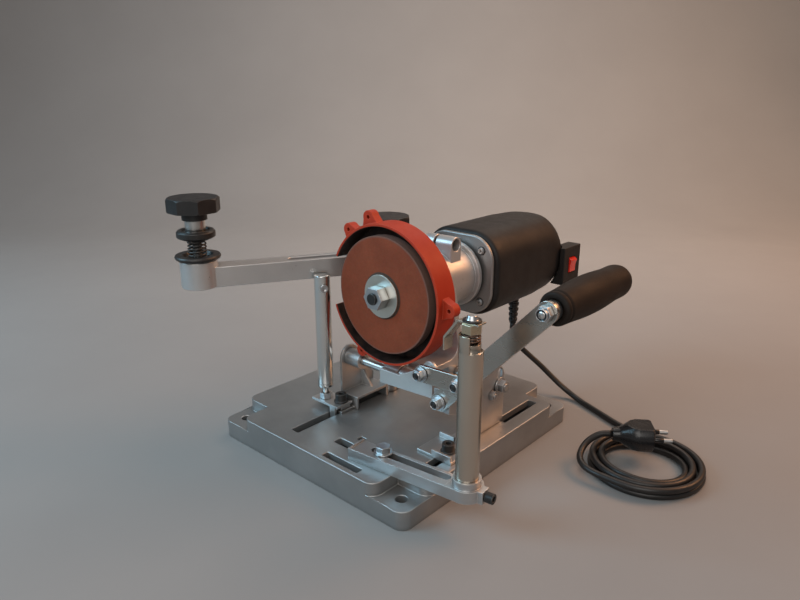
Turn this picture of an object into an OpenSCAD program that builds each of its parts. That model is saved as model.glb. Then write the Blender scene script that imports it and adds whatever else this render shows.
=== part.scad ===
// Bench saw blade sharpener: a sliding, tilting grinding head on a slotted cast base.
// Millimetres. Origin at the middle of the base's underside, +Z up.
// +X runs along the front edge to the right, +Y runs back along the grinding spindle.

/* [Base] */
// Width of the base, along X
base_w = 280; // [260:1:340]
// Depth of the base, along Y
base_d = 300; // [280:1:360]
// Height of the base's top face
base_h = 34; // [28:1:42]
// Thickness of the top plate
base_top = 8; // [5:0.5:10]
// Thickness of the skirt and of the ribs
base_wall = 6; // [4:0.5:8]
// Corner radius of the base
base_corner = 12; // [8:1:16]
// Width of a lowered corner tab, along X
tab_w = 38; // [32:1:46]
// Depth of a lowered corner tab, along Y
tab_d = 35; // [32:1:44]
// Height of a corner tab's top face
tab_h = 20; // [16:1:24]
// Diameter of the bench bolt hole in each tab
bench_hole = 12; // [8:0.5:14]
// Width of the long slots at the left and the right
slot_w = 11; // [10:0.5:14]

/* [Guide rod and brackets] */
// Diameter of the guide rod
rod_d = 10; // [8:0.5:12]
// Height of the guide rod's axis
rod_z = 90; // [86:1:94]
// Outer diameter of the two rod bushes
bush_d = 20; // [17:0.5:22]
// Thickness of the bracket steel
sheet = 3; // [2:0.25:3.5]
// Distance between the two brackets' inner faces
bracket_span = 159; // [155:1:165]
// Radius of the tilt slot about the guide rod
tilt_r = 68; // [64:1:72]
// Diameter of the rear rod
rear_d = 10; // [8.5:0.5:12]

/* [Motor head] */
// Height of the spindle's axis
spindle_z = 183; // [180:1:190]
// Diameter of the spindle
spindle_d = 12; // [10:0.5:14]
// Diameter of the motor's nose, held by the split clamp
nose_d = 52; // [48:1:56]
// Width of the motor housing, along X
motor_w = 106; // [102:1:128]
// Height of the motor housing, along Z
motor_h = 100; // [98:1:122]
// Corner radius of the motor housing
motor_corner = 36; // [30:1:44]
// Wall of the motor housing
motor_wall = 3; // [2:0.25:4]
// Length of the motor housing
motor_l = 170; // [160:1:200]
// Width of the motor flange, along X
flange_w = 96; // [90:1:100]
// Height of the motor flange, along Z
flange_h = 92; // [88:1:96]

/* [Wheel and guard] */
// Diameter of the grinding wheel
wheel_d = 125; // [100:1:130]
// Thickness of the grinding wheel
wheel_t = 12; // [6:0.5:14]
// Diameter of the wheel's outer clamping washer
wheel_washer_d = 46; // [36:1:50]
// Gap between the wheel's edge and the guard
guard_gap = 9.5; // [5:0.5:11]
// Wall of the guard
guard_wall = 3; // [2:0.25:4]

/* [Lever] */
// Distance from the lever's fixed pivot to its grip
lever_l = 165; // [140:1:190]
// Distance from the lever's fixed pivot to the link's pivot
crank_l = 38.5; // [34:0.5:42]
// Angle of the lever above the horizontal
lever_angle = 46.7; // [42:0.1:50]
// Width of the lever bar
lever_w = 20; // [18:1:26]
// Thickness of the lever and link bars
lever_t = 3.5; // [2:0.25:4]
// Diameter of the pivot bolts
pivot_d = 6; // [5:0.5:8]
// Length of the grip
grip_l = 128; // [100:1:150]
// Largest diameter of the grip
grip_d = 36; // [28:1:42]

/* [Blade arm] */
// Distance from the column to the blade stud
arm_l = 210; // [180:1:250]
// Swing of the arm from straight ahead
arm_angle = 29; // [28:1:40]
// Width of the arm
arm_w = 24; // [20:1:25]
// Height of the arm's section
arm_t = 22; // [18:1:26]
// Height of the arm's underside
arm_z = 185; // [175:1:190]
// Diameter of the boss at the arm's end
boss_d = 39; // [36:1:48]
// Diameter of the column
column_d = 18; // [15:0.5:21]
// Diameter of the threaded studs under both knobs
stud_d = 10; // [8:0.5:12]
// Width across the front knob's corners
clamp_knob_d = 55; // [48:1:64]
// Width across the rear knob's corners
arm_knob_d = 54; // [44:1:55]

/* [Posts] */
// Diameter of the left post
left_post_d = 18; // [12:0.5:20]
// Height of the left post's top
left_post_top = 192; // [160:1:200]
// Diameter of the right post
post_d = 22; // [18:0.5:26]
// Height of the right post's top
post_top = 191; // [170:1:196]
// Width of the slotted bar
bar_w = 24; // [22:1:28]
// Thickness of the slotted bar
bar_t = 12; // [10:0.5:14]
// Distance from the bar's bolt to the right post
bar_l = 95; // [85:1:115]
// Angle of the bar to the base's front edge
bar_angle = 6; // [0:1:7]

/* [Mains cord] */
// Diameter of the cord
cord_d = 7; // [6:0.25:7.5]
// Turns in each of the coil's two layers
coil_turns = 2; // [1:1:2]
// Radius of the coil's inner turn
coil_inner_r = 42; // [38:1:46]

/* [Hidden] */
$fn = 64;

// Colours
cast = [0.72, 0.74, 0.76];
zinc = [0.66, 0.69, 0.72];
bright = [0.82, 0.83, 0.84];
black = [0.07, 0.07, 0.08];

// Clearances: a running fit on the radius, a gap between sliding faces, and slack between neighbours
fit = 0.05;
face_gap = 0.3;
slack = 0.5;

// Base slots, each end half a slot's width past the place given
left_slot_x = -35;
left_slot_y = [-124.5, 104.5];
right_slot_x = 118;
right_slot_y = [43.5, 98.5];
foot_slot_y = [-79.5, -50.5];
front_slot_y = -112;
front_slot_x = [18, 95];
front_slot_w = 10;
edge_slot_y = -139.5;
edge_slot_x = [28, 70];
edge_slot_w = 8;
slot_corner = 1.5;
square_hole = [27, -97];
square_hole_size = [8, 7];
bench_inset = 19;
bench_boss_wall = 6;
bench_x = base_w / 2 - bench_inset;
bench_y = base_d / 2 - bench_inset;

// Guide rod line, brackets and rear rod
rod_y = -36;
left_x = -44;
right_x = left_x + bracket_span;
lug_r = bush_d / 2 + 4;
rod_overhang = 3;
rear_angle = -8.5;
rear_y = rod_y + tilt_r * cos(rear_angle);
rear_z = rod_z + tilt_r * sin(rear_angle);
rear_thread_d = 8;
tilt_travel = 10;

// Spindle line, as places along Y
spindle_x = 28;
wheel_y = -57;
wheel_washer_t = 3;
wheel_nut_h = 12;
spindle_overhang = 2;
inner_flange_t = 4;
inner_flange_d = 40;
guard_front = wheel_y - 1;
guard_back = guard_front + 27;
guard_r = wheel_d / 2 + guard_gap;
nose_flange_d = 68;
nose_flange_t = 6;
flange_y = 70;
flange_t = 5;
housing_y = flange_y + flange_t;
bearing_d = 28;
bearing_t = 9;
rear_bearing_y = housing_y + motor_l - 30;
wheel_nut_y = wheel_y - wheel_washer_t - wheel_nut_h;

// Lever linkage: the fixed pivot C, the slide's pivot A and the open pivot B
pivot_c = [108, 90];
pivot_a = [88, 116];
pivot_b = pivot_c + crank_l * [cos(lever_angle), sin(lever_angle)];
grip_at = pivot_c + lever_l * [cos(lever_angle), sin(lever_angle)];
block_front = -52;
ear_y = block_front - 5;
lever_y = ear_y - slack - lever_t;
link_y = lever_y - slack - lever_t;
open_slack = 2;

// Blade arm
column_x = left_slot_x;
column_y = 18;
column_bolt_d = slot_w - 2 * slack;
boss_x = column_x - arm_l * sin(arm_angle);
boss_y = column_y - arm_l * cos(arm_angle);
arm_top = arm_z + arm_t;
boss_step = 7;
boss_top = arm_top + boss_step;

// Screws under the base
screw_d = 8;
nut_h = 8;
nut_z = base_h - base_top - nut_h;

// A rounded rectangle about the origin, with true arcs
module round_rect(w, d, r) {
  square([w - 2 * r, d], center = true);
  square([w, d - 2 * r], center = true);
  for (x = [-1, 1], y = [-1, 1])
    translate([x * (w / 2 - r), y * (d / 2 - r)]) circle(r);
}

// A straight bar or slot with round ends between two points
module slot_2d(a, b, w) {
  span = b - a;
  translate(a) rotate(atan2(span[1], span[0])) translate([0, -w / 2]) square([norm(span), w]);
  translate(a) circle(d = w);
  translate(b) circle(d = w);
}

// A slot along X or Y with nearly square ends
module square_slot(a, b, w) {
  span = b - a;
  translate((a + b) / 2) round_rect(abs(span[0]) + w, abs(span[1]) + w, slot_corner);
}

// Round rods along X or Y, from a start point
module rod_x(p, d, l) { translate(p) rotate([0, 90, 0]) cylinder(d = d, h = l); }
module rod_along_y(p, d, l) { translate(p) rotate([-90, 0, 0]) cylinder(d = d, h = l); }

// Tubes along X or Y
module tube_x(p, d, bore, l) {
  difference() {
    rod_x(p, d, l);
    rod_x(p - [1, 0, 0], bore, l + 2);
  }
}
module tube_y(p, d, bore, l) {
  difference() {
    rod_along_y(p, d, l);
    rod_along_y(p - [0, 1, 0], bore, l + 2);
  }
}

// Plates: an outline in YZ or XZ, with a start and a thickness
module plate_yz(x, t) { translate([x, 0, 0]) rotate([90, 0, 90]) linear_extrude(t) children(); }
module plate_xz(y, t) { translate([0, y + t, 0]) rotate([90, 0, 0]) linear_extrude(t) children(); }

// Hexagon nuts
module hexagon(af) { circle(d = af / cos(30), $fn = 6); }
module nut_2d(af, bore) {
  difference() {
    hexagon(af);
    circle(d = bore + 2 * fit);
  }
}
module nut_along_x(p, af, bore, h) { translate(p) rotate([0, 90, 0]) linear_extrude(h) nut_2d(af, bore); }
module nut_along_y(p, af, bore, h) { translate(p) rotate([-90, 0, 0]) linear_extrude(h) nut_2d(af, bore); }

// A socket screw with its washer, standing on a flat
head_d = 13;
head_h = 8;
washer_d = 16;
washer_t = 1.5;
module socket_screw(p, below) {
  translate(p) {
    translate([0, 0, -below]) cylinder(d = screw_d, h = below + washer_t);
    cylinder(d = washer_d, h = washer_t);
    translate([0, 0, washer_t]) difference() {
      cylinder(d = head_d, h = head_h);
      translate([0, 0, head_h / 2]) linear_extrude(head_h) hexagon(0.75 * screw_d);
    }
  }
}

// Base: a raised cross with four lowered corner tabs, hollow underneath, with crossing ribs
module base_outline(inset) {
  corner = base_corner - inset / 2;
  round_rect(base_w - 2 * tab_w - 2 * inset, base_d - 2 * inset, corner);
  round_rect(base_w - 2 * inset, base_d - 2 * tab_d - 2 * inset, corner);
}
module base_slots() {
  square_slot([left_slot_x, left_slot_y[0]], [left_slot_x, left_slot_y[1]], slot_w);
  square_slot([right_slot_x, right_slot_y[0]], [right_slot_x, right_slot_y[1]], slot_w);
  square_slot([right_slot_x, foot_slot_y[0]], [right_slot_x, foot_slot_y[1]], slot_w);
  square_slot([front_slot_x[0], front_slot_y], [front_slot_x[1], front_slot_y], front_slot_w);
  square_slot([edge_slot_x[0], edge_slot_y], [edge_slot_x[1], edge_slot_y], edge_slot_w);
  translate(square_hole) square(square_hole_size);
}
module at_bench_holes() {
  for (x = [-1, 1], y = [-1, 1]) translate([x * bench_x, y * bench_y, 0]) children();
}
module base_plate() {
  color(cast) difference() {
    union() {
      difference() {
        union() {
          linear_extrude(base_h) base_outline(0);
          linear_extrude(tab_h) round_rect(base_w, base_d, base_corner);
        }
        translate([0, 0, -1]) linear_extrude(base_h - base_top + 1) base_outline(base_wall);
        translate([0, 0, -1]) linear_extrude(tab_h - base_top + 1)
          round_rect(base_w - 2 * base_wall, base_d - 2 * base_wall, base_corner - base_wall / 2);
      }
      at_bench_holes() cylinder(d = bench_hole + 2 * bench_boss_wall, h = tab_h);
      translate([-base_wall / 2, -base_d / 2 + 1, 0]) cube([base_wall, base_d - 2, base_h - 1]);
      translate([-base_w / 2 + 1, -base_wall / 2, 0]) cube([base_w - 2, base_wall, base_h - 1]);
    }
    translate([0, 0, -1]) linear_extrude(base_h + 2) base_slots();
    at_bench_holes() translate([0, 0, -1]) cylinder(d = bench_hole, h = base_h);
  }
}

// Left bracket: an upright, a channel foot, a gusset and a screwed-down tab
left_y = [-50, 2];
left_foot_x = -20;
shelf_z = base_h + 15;
left_slope_z = shelf_z + 9;
gusset = [16, 21];
gusset_y = -18;
left_tab_x = [-42, -25];
left_tab_y = -70;
left_screw = [left_slot_x, -61];
plate_x = [-69, -26.5];
plate_y = [-75, left_y[0] - 1];
plate_z = base_h + 7;
plate_seat = plate_z + sheet + face_gap;
module left_bracket() {
  flange_l = left_foot_x - left_x;
  color(zinc) difference() {
    union() {
      plate_yz(left_x - sheet, sheet) {
        translate([rod_y, rod_z]) circle(lug_r);
        polygon([[left_y[0], base_h], [left_y[1], base_h], [left_y[1], left_slope_z],
          [rod_y + lug_r, rod_z], [left_y[0], rod_z]]);
      }
      for (y = [left_y[0], left_y[1] - sheet])
        translate([left_x, y, base_h]) cube([flange_l, sheet, shelf_z - base_h]);
      translate([left_x, left_y[0], shelf_z - sheet]) cube([flange_l, left_y[1] - left_y[0], sheet]);
      plate_xz(gusset_y, sheet)
        translate([left_x, shelf_z]) polygon([[0, 0], [gusset[0], 0], [0, gusset[1]]]);
      translate([left_tab_x[0], left_tab_y, base_h])
        cube([left_tab_x[1] - left_tab_x[0], left_y[0] - left_tab_y + sheet, sheet]);
    }
    rod_x([left_x - sheet - 1, rod_y, rod_z], rod_d + 2 * fit, sheet + 2);
    translate([left_screw[0], left_screw[1], base_h - 1]) cylinder(d = screw_d + 2 * fit, h = sheet + 2);
  }
}

// Right bracket: an upright with the tilt slot, the lever's ear and a screwed-down foot
right_y = [-38, 40];
right_top = 102;
right_corner = 11;
ear_x = 98;
ear_z = [78, 102];
neck_z = 70;
flange_x = 100;
foot_x = [90, 134];
foot_y = [-73, -36];
tab_top = 8.5;
front_tab_x = [109, 133];
rear_tab_x = [92, 111];
right_screw = [right_slot_x, -57];
stop_at = [17, 73];
module tilt_slot() {
  slot_width = rear_thread_d + 2 * face_gap;
  start = rear_angle - 0.5;
  end = rear_angle + tilt_travel + 3;
  reach = 2 * tilt_r;
  translate([rod_y, rod_z]) {
    intersection() {
      difference() {
        circle(tilt_r + slot_width / 2);
        circle(tilt_r - slot_width / 2);
      }
      polygon([[0, 0], reach * [cos(start), sin(start)], reach * [cos(end), sin(end)]]);
    }
    for (a = [start, end]) rotate(a) translate([tilt_r, 0]) circle(d = slot_width);
  }
}
module right_bracket() {
  color(zinc) difference() {
    union() {
      plate_yz(right_x, sheet) difference() {
        union() {
          translate([right_y[1] - right_corner, right_top - right_corner]) circle(right_corner);
          polygon([[right_y[0], base_h], [right_y[1], base_h], [right_y[1], right_top - right_corner],
            [right_y[1] - right_corner, right_top], [rod_y, rod_z + lug_r], [ear_y, ear_z[1]],
            [ear_y, ear_z[0]], [right_y[0], neck_z]]);
        }
        tilt_slot();
      }
      translate([ear_x, ear_y, ear_z[0]]) cube([right_x + sheet - ear_x, sheet, ear_z[1] - ear_z[0]]);
      translate([flange_x, right_y[0], base_h])
        cube([right_x + sheet - flange_x, right_y[1] - right_y[0], sheet]);
      translate([foot_x[0], foot_y[0], base_h]) cube([foot_x[1] - foot_x[0], foot_y[1] - foot_y[0], sheet]);
      translate([front_tab_x[0], foot_y[0], base_h]) cube([front_tab_x[1] - front_tab_x[0], sheet, tab_top]);
      translate([rear_tab_x[0], foot_y[1] - sheet, base_h])
        cube([rear_tab_x[1] - rear_tab_x[0], sheet, tab_top]);
    }
    rod_x([right_x - 1, rod_y, rod_z], rod_d + 2 * fit, sheet + 2);
    rod_x([right_x - 1, stop_at[0], stop_at[1]], pivot_d + 2 * fit, sheet + 2);
    rod_along_y([pivot_c[0], ear_y - 1, pivot_c[1]], pivot_d + 2 * fit, sheet + 2);
    translate([right_screw[0], right_screw[1], base_h - 1])
      cylinder(d = screw_d + 2 * fit, h = sheet + 2);
  }
}
left_bush_l = 22;
right_bush_l = 21.5;
module rod_bushes() {
  bore = rod_d + 2 * fit;
  color(zinc) {
    tube_x([left_x, rod_y, rod_z], bush_d, bore, left_bush_l);
    tube_x([right_x - right_bush_l, rod_y, rod_z], bush_d, bore, right_bush_l);
  }
}
module guide_rod() {
  length = bracket_span + 2 * (sheet + rod_overhang);
  color(bright) rod_x([left_x - sheet - rod_overhang, rod_y, rod_z], rod_d, length);
}
module bracket_screws() {
  below = base_top + nut_h + 1;
  color(black) {
    socket_screw([left_screw[0], left_screw[1], plate_seat], plate_seat - base_h + below);
    socket_screw([right_screw[0], right_screw[1], base_h + sheet], sheet + below);
  }
}
slot_nut_af = 16;
module slot_nuts() {
  color(zinc) {
    for (s = [left_screw, right_screw])
      translate([s[0], s[1], nut_z]) linear_extrude(nut_h) nut_2d(slot_nut_af, screw_d);
    translate([column_x, column_y, nut_z]) linear_extrude(nut_h) nut_2d(slot_nut_af, column_bolt_d);
  }
}
small_af = 10;
small_head = 4;
module stop_bolt() {
  color(zinc) {
    rod_x([right_x - small_head, stop_at[0], stop_at[1]], small_af, small_head);
    rod_x([right_x - 1, stop_at[0], stop_at[1]], pivot_d, sheet + small_head + 3);
    nut_along_x([right_x + sheet, stop_at[0], stop_at[1]], small_af, pivot_d, small_head + 1);
  }
}

// Rear rod, clamped in the tilt slot by a nut and a washer
rear_start = 12;
tilt_washer_d = 19;
tilt_washer_t = 1.7;
tilt_nut_af = 13;
tilt_nut_h = 6.5;
tilt_x = right_x + sheet + face_gap;
module rear_rod() {
  shoulder = right_x - face_gap;
  color(bright) {
    rod_x([rear_start, rear_y, rear_z], rear_d, shoulder - rear_start);
    rod_x([shoulder - 1, rear_y, rear_z], rear_thread_d, tilt_x + tilt_washer_t + tilt_nut_h + 2 - shoulder);
  }
}
module tilt_nut() {
  color(zinc) {
    tube_x([tilt_x, rear_y, rear_z], tilt_washer_d, rear_thread_d + 2 * fit, tilt_washer_t);
    nut_along_x([tilt_x + tilt_washer_t, rear_y, rear_z], tilt_nut_af, rear_thread_d, tilt_nut_h);
  }
}

// Slide block: two bored lugs behind a front plate, which rises to the link's pivot
block_x = [18, 92];
block_t = 4;
block_low = [81, 85];
block_top = 98;
block_rise = [46, 79];
block_lug_r = 11.5;
head_lug_x = [39, 71];
lug_side = 1;
left_lug = [block_x[0], head_lug_x[0] - lug_side];
right_lug = [head_lug_x[1] + lug_side, 84];
pivot_lug_r = 9;
module carriage_block() {
  color(cast) difference() {
    union() {
      plate_xz(block_front, block_t) {
        polygon([[block_x[0], block_low[0]], [block_x[1], block_low[1]], [block_x[1], pivot_a[1]],
          [block_rise[1], pivot_a[1]], [block_rise[0], block_top], [block_x[0], block_top]]);
        translate(pivot_a) circle(pivot_lug_r);
      }
      for (x = [left_lug, right_lug]) {
        rod_x([x[0], rod_y, rod_z], 2 * block_lug_r, x[1] - x[0]);
        translate([x[0], block_front + 1, rod_z - 5]) cube([x[1] - x[0], rod_y - block_front - 1, 12]);
      }
    }
    rod_x([block_x[0] - 1, rod_y, rod_z], rod_d + 2 * fit, block_x[1] - block_x[0] + 2);
    rod_along_y([pivot_a[0], block_front - 1, pivot_a[1]], pivot_d + 2 * fit, block_t + 2);
  }
}

// Motor support: a lug on the guide rod, a foot, an upright, a split clamp and a tail on the rear rod
head_lug_r = 11;
leg_x = [2, 74];
leg_z = [99, 106];
leg_y = [-27, 14];
upright_t = 8;
upright_shoulder = 18;
leg_fillet = 14;
clamp_y = [-22, 66];
clamp_wall = 7;
clamp_r = nose_d / 2 + clamp_wall;
front_lip = [2, 3];
rear_lip = [5, 6];
split_w = 3;
clamp_boss_x = [14, 52];
clamp_boss_d = 18;
clamp_boss_y = 35;
clamp_boss_z = spindle_z + clamp_r + 8;
clamp_bolt_d = 6;
clamp_sink_d = 13.5;
clamp_sink = 14;
tail_x = [30, 60];
tail_r = rear_d / 2 + 6;
module motor_support() {
  lug_l = head_lug_x[1] - head_lug_x[0];
  leg_w = leg_x[1] - leg_x[0];
  boss_l = clamp_boss_x[1] - clamp_boss_x[0];
  clamp_l = clamp_y[1] - clamp_y[0];
  color(cast) difference() {
    union() {
      rod_x([head_lug_x[0], rod_y, rod_z], 2 * head_lug_r, lug_l);
      translate([head_lug_x[0], rod_y, rod_z]) cube([lug_l, leg_y[0] - rod_y + 8, leg_z[0] - rod_z + 1]);
      translate([leg_x[0], leg_y[0], leg_z[0]])
        cube([leg_w, leg_y[1] - leg_y[0] + 1, leg_z[1] - leg_z[0]]);
      translate([leg_x[0], leg_y[1] - leg_fillet, leg_z[1] - 1]) difference() {
        cube([leg_w, leg_fillet + 1, leg_fillet + 1]);
        rod_x([-1, 0, leg_fillet + 1], 2 * leg_fillet, leg_w + 2);
      }
      plate_xz(leg_y[1], upright_t)
        polygon([[leg_x[0], leg_z[0]], [leg_x[1], leg_z[0]], [leg_x[1], leg_z[1] + upright_shoulder],
          [spindle_x + clamp_r, spindle_z], [spindle_x - clamp_r, spindle_z],
          [leg_x[0], leg_z[1] + upright_shoulder]]);
      rod_along_y([spindle_x, clamp_y[0], spindle_z], 2 * clamp_r, clamp_l);
      rod_along_y([spindle_x, clamp_y[0], spindle_z], 2 * (clamp_r + front_lip[0]), front_lip[1]);
      rod_along_y([spindle_x, clamp_y[1] - rear_lip[1], spindle_z], 2 * (clamp_r + rear_lip[0]), rear_lip[1]);
      rod_x([clamp_boss_x[0], clamp_boss_y, clamp_boss_z], clamp_boss_d, boss_l);
      translate([clamp_boss_x[0], clamp_boss_y - clamp_boss_d / 2, spindle_z])
        cube([boss_l, clamp_boss_d, clamp_boss_z - spindle_z]);
      plate_yz(tail_x[0], tail_x[1] - tail_x[0]) {
        polygon([[leg_y[1] - 4, leg_z[0] + 1], [leg_y[1] + upright_t, leg_z[0] + 1],
          [rear_y + tail_r * cos(30), rear_z + tail_r * sin(30)],
          [rear_y + tail_r * cos(210), rear_z + tail_r * sin(210)]]);
        translate([rear_y, rear_z]) circle(tail_r);
      }
    }
    rod_x([head_lug_x[0] - 1, rod_y, rod_z], rod_d + 2 * fit, lug_l + 2);
    rod_x([tail_x[0] - 1, rear_y, rear_z], rear_d + 2 * fit, tail_x[1] - tail_x[0] + 2);
    rod_along_y([spindle_x, clamp_y[0] - 3, spindle_z], nose_d + 2 * fit, clamp_l + 4);
    translate([spindle_x - split_w / 2, clamp_y[0] - 3, spindle_z])
      cube([split_w, clamp_l + 4, clamp_boss_z + clamp_boss_d - spindle_z]);
    rod_x([clamp_boss_x[0] - 1, clamp_boss_y, clamp_boss_z], clamp_bolt_d + 2 * fit, boss_l + 2);
    rod_x([clamp_boss_x[1] - clamp_sink, clamp_boss_y, clamp_boss_z], clamp_sink_d, clamp_sink + 1);
  }
}
module clamp_screw() {
  seat = clamp_boss_x[1] - clamp_sink;
  color(black) {
    rod_x([clamp_boss_x[0] + 1, clamp_boss_y, clamp_boss_z], clamp_bolt_d, seat - clamp_boss_x[0]);
    rod_x([seat, clamp_boss_y, clamp_boss_z], 10, 6);
  }
}

// Motor: nose with flange, housing, stator, rotor and bearings
flange_corner = 30;
flange_screw = [33, 30];
flange_screw_d = 4;
flange_head_d = 8;
flange_head_h = 3;
guard_screw_r = 29;
guard_screw_d = 4;
guard_head_d = 7;
guard_head_h = 2.5;
guard_screw_angles = [90, 210, 330];
nose_bore = nose_d - 12;
nose_web = 20;
module at_flange_screws(y) {
  for (x = [-1, 1], z = [-1, 1])
    translate([spindle_x + x * flange_screw[0], y, spindle_z + z * flange_screw[1]]) children();
}
module at_guard_screws(y) {
  for (a = guard_screw_angles)
    translate([spindle_x + guard_screw_r * cos(a), y, spindle_z + guard_screw_r * sin(a)]) children();
}
module motor_flange() {
  color(cast) difference() {
    union() {
      rod_along_y([spindle_x, guard_back, spindle_z], nose_flange_d, nose_flange_t);
      rod_along_y([spindle_x, guard_back, spindle_z], nose_d, flange_y - guard_back + 1);
      plate_xz(flange_y, flange_t)
        translate([spindle_x, spindle_z]) round_rect(flange_w, flange_h, flange_corner);
    }
    rod_along_y([spindle_x, guard_back - 1, spindle_z], spindle_d + 4, housing_y - guard_back + 2);
    rod_along_y([spindle_x, guard_back - 1, spindle_z], bearing_d + 2 * fit, bearing_t + 1);
    rod_along_y([spindle_x, guard_back + nose_web, spindle_z], nose_bore, housing_y - guard_back);
    at_flange_screws(flange_y - 1) rod_along_y([0, 0, 0], flange_screw_d + 2 * fit, flange_t + 2);
    at_guard_screws(guard_back - 1) rod_along_y([0, 0, 0], guard_screw_d + 2 * fit, nose_flange_t + 2);
  }
}
post_depth = 16;
module motor_screws() {
  color(zinc) {
    at_flange_screws(flange_y) {
      rod_along_y([0, -flange_head_h, 0], flange_head_d, flange_head_h);
      rod_along_y([0, -1, 0], flange_screw_d, flange_t + post_depth - 3);
    }
    at_guard_screws(guard_back - guard_wall) {
      rod_along_y([0, -guard_head_h, 0], guard_head_d, guard_head_h);
      rod_along_y([0, -1, 0], guard_screw_d, guard_wall + nose_flange_t);
    }
  }
}
dome_r = 52;
rim_in = 5;
rim_l = 7;
module housing_section(r, shrink) {
  dome = dome_r - shrink;
  straight = motor_l - dome_r;
  polygon([[0, 0], [r - rim_in, 0], [r, rim_l], [r, straight], [0, straight]]);
  square([r - dome, motor_l - shrink]);
  translate([r - dome, straight]) intersection() {
    circle(dome);
    square(dome);
  }
}
module housing_solid(shrink) {
  corner = motor_corner - shrink;
  reach = norm([motor_w / 2 - motor_corner, motor_h / 2 - motor_corner]) + corner + 1;
  intersection() {
    plate_xz(housing_y, motor_l) translate([spindle_x, spindle_z])
      round_rect(motor_w - 2 * shrink, motor_h - 2 * shrink, corner);
    translate([spindle_x, housing_y, spindle_z]) rotate([-90, 0, 0])
      rotate_extrude() housing_section(reach, shrink);
  }
}
screw_post_d = 9;
post_rib = 4;
bearing_boss = 6;
relief_x = 45;
relief_y = 168;
relief_cone = 30;
relief_neck = 5;
relief_z = spindle_z - motor_h / 2 - relief_cone - relief_neck;
relief_d = 12;
module motor_housing() {
  seat = rear_bearing_y - housing_y;
  color(black) difference() {
    union() {
      difference() {
        housing_solid(0);
        housing_solid(motor_wall);
      }
      intersection() {
        union() {
          tube_y([spindle_x, rear_bearing_y, spindle_z], bearing_d + 2 * bearing_boss,
            bearing_d + 2 * fit, motor_l - seat);
          at_flange_screws(housing_y) rod_along_y([0, 0, 0], screw_post_d, post_depth);
          for (x = [-1, 1], z = [-1, 1]) translate([spindle_x, housing_y, spindle_z])
            rotate([0, -atan2(z * flange_screw[1], x * flange_screw[0]), 0])
              translate([norm(flange_screw), 0, -post_rib / 2]) cube([motor_w, post_depth - 2, post_rib]);
        }
        housing_solid(motor_wall / 2);
      }
    }
    at_flange_screws(housing_y - 1) rod_along_y([0, 0, 0], flange_screw_d + 2 * fit, post_depth);
    translate([relief_x, relief_y, relief_z]) cylinder(d = relief_d + 2 * fit, h = spindle_z - relief_z);
  }
}
stator_y = [98, 158];
rotor_d = 58;
air_gap = 1;
rotor_end = 2;
module stator() {
  outer = motor_h - 2 * motor_wall - 2 * fit;
  color([0.3, 0.3, 0.32])
    tube_y([spindle_x, stator_y[0], spindle_z], outer, rotor_d + 2 * air_gap, stator_y[1] - stator_y[0]);
}
module rotor() {
  length = stator_y[1] - stator_y[0] - 2 * rotor_end;
  color([0.6, 0.4, 0.25])
    tube_y([spindle_x, stator_y[0] + rotor_end, spindle_z], rotor_d, spindle_d + 2 * fit, length);
}
module bearings() {
  color(bright) for (y = [guard_back, rear_bearing_y])
    tube_y([spindle_x, y, spindle_z], bearing_d, spindle_d + 2 * fit, bearing_t);
}
module spindle() {
  start = wheel_nut_y - spindle_overhang;
  color([0.3, 0.3, 0.32])
    rod_along_y([spindle_x, start, spindle_z], spindle_d, rear_bearing_y + bearing_t - start);
}

// Switch box on the motor's side with its rocker, and the cord's ribbed strain relief
switch_x = [spindle_x + motor_w / 2 - 11, spindle_x + motor_w / 2 + 7];
switch_y = [housing_y + motor_l - 33, housing_y + motor_l + 7];
switch_z = [spindle_z - 37, spindle_z + 11];
rocker_w = 14;
rocker_l = 21;
rocker_depth = 8;
rocker_lean = 8;
rocker_at = [switch_x[1] - 4, (switch_y[0] + switch_y[1]) / 2, (switch_z[0] + switch_z[1]) / 2];
module switch_box() {
  color(black) difference() {
    translate([switch_x[0], switch_y[0], switch_z[0]])
      cube([switch_x[1] - switch_x[0], switch_y[1] - switch_y[0], switch_z[1] - switch_z[0]]);
    housing_solid(-3 * fit);
    translate([switch_x[1] - rocker_depth, rocker_at[1] - rocker_w / 2 - slack,
      rocker_at[2] - rocker_l / 2])
      cube([rocker_depth + 1, rocker_w + 2 * slack, rocker_l]);
  }
}
module rocker() {
  r = rocker_l / 2 - slack;
  rise = 5.5;
  color([0.8, 0.05, 0.05]) translate(rocker_at) rotate([0, rocker_lean, 0]) difference() {
    rod_along_y([0, -rocker_w / 2, 0], 2 * r, rocker_w);
    translate([-2 * r - 1, -rocker_w, -2 * r]) cube([2 * r, 2 * rocker_w, 4 * r]);
    translate([rise, -rocker_w, 0]) rotate([0, rocker_lean, 0]) cube([2 * r, 2 * rocker_w, 2 * r]);
    translate([rise, -rocker_w, 0]) rotate([0, -rocker_lean, 0])
      translate([0, 0, -2 * r]) cube([2 * r, 2 * rocker_w, 2 * r]);
  }
}
relief_inside = 9;
relief_ribs = 4;
relief_pitch = 7;
module strain_relief() {
  color(black) translate([relief_x, relief_y, relief_z]) {
    cylinder(d1 = cord_d + 2, d2 = relief_d - 1, h = relief_cone);
    translate([0, 0, relief_cone]) cylinder(d = relief_d, h = relief_inside);
    for (i = [0:relief_ribs - 1]) translate([0, 0, 3 + i * relief_pitch])
      cylinder(d = cord_d + 4 + i * 0.8, h = relief_pitch / 2);
  }
}

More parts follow.
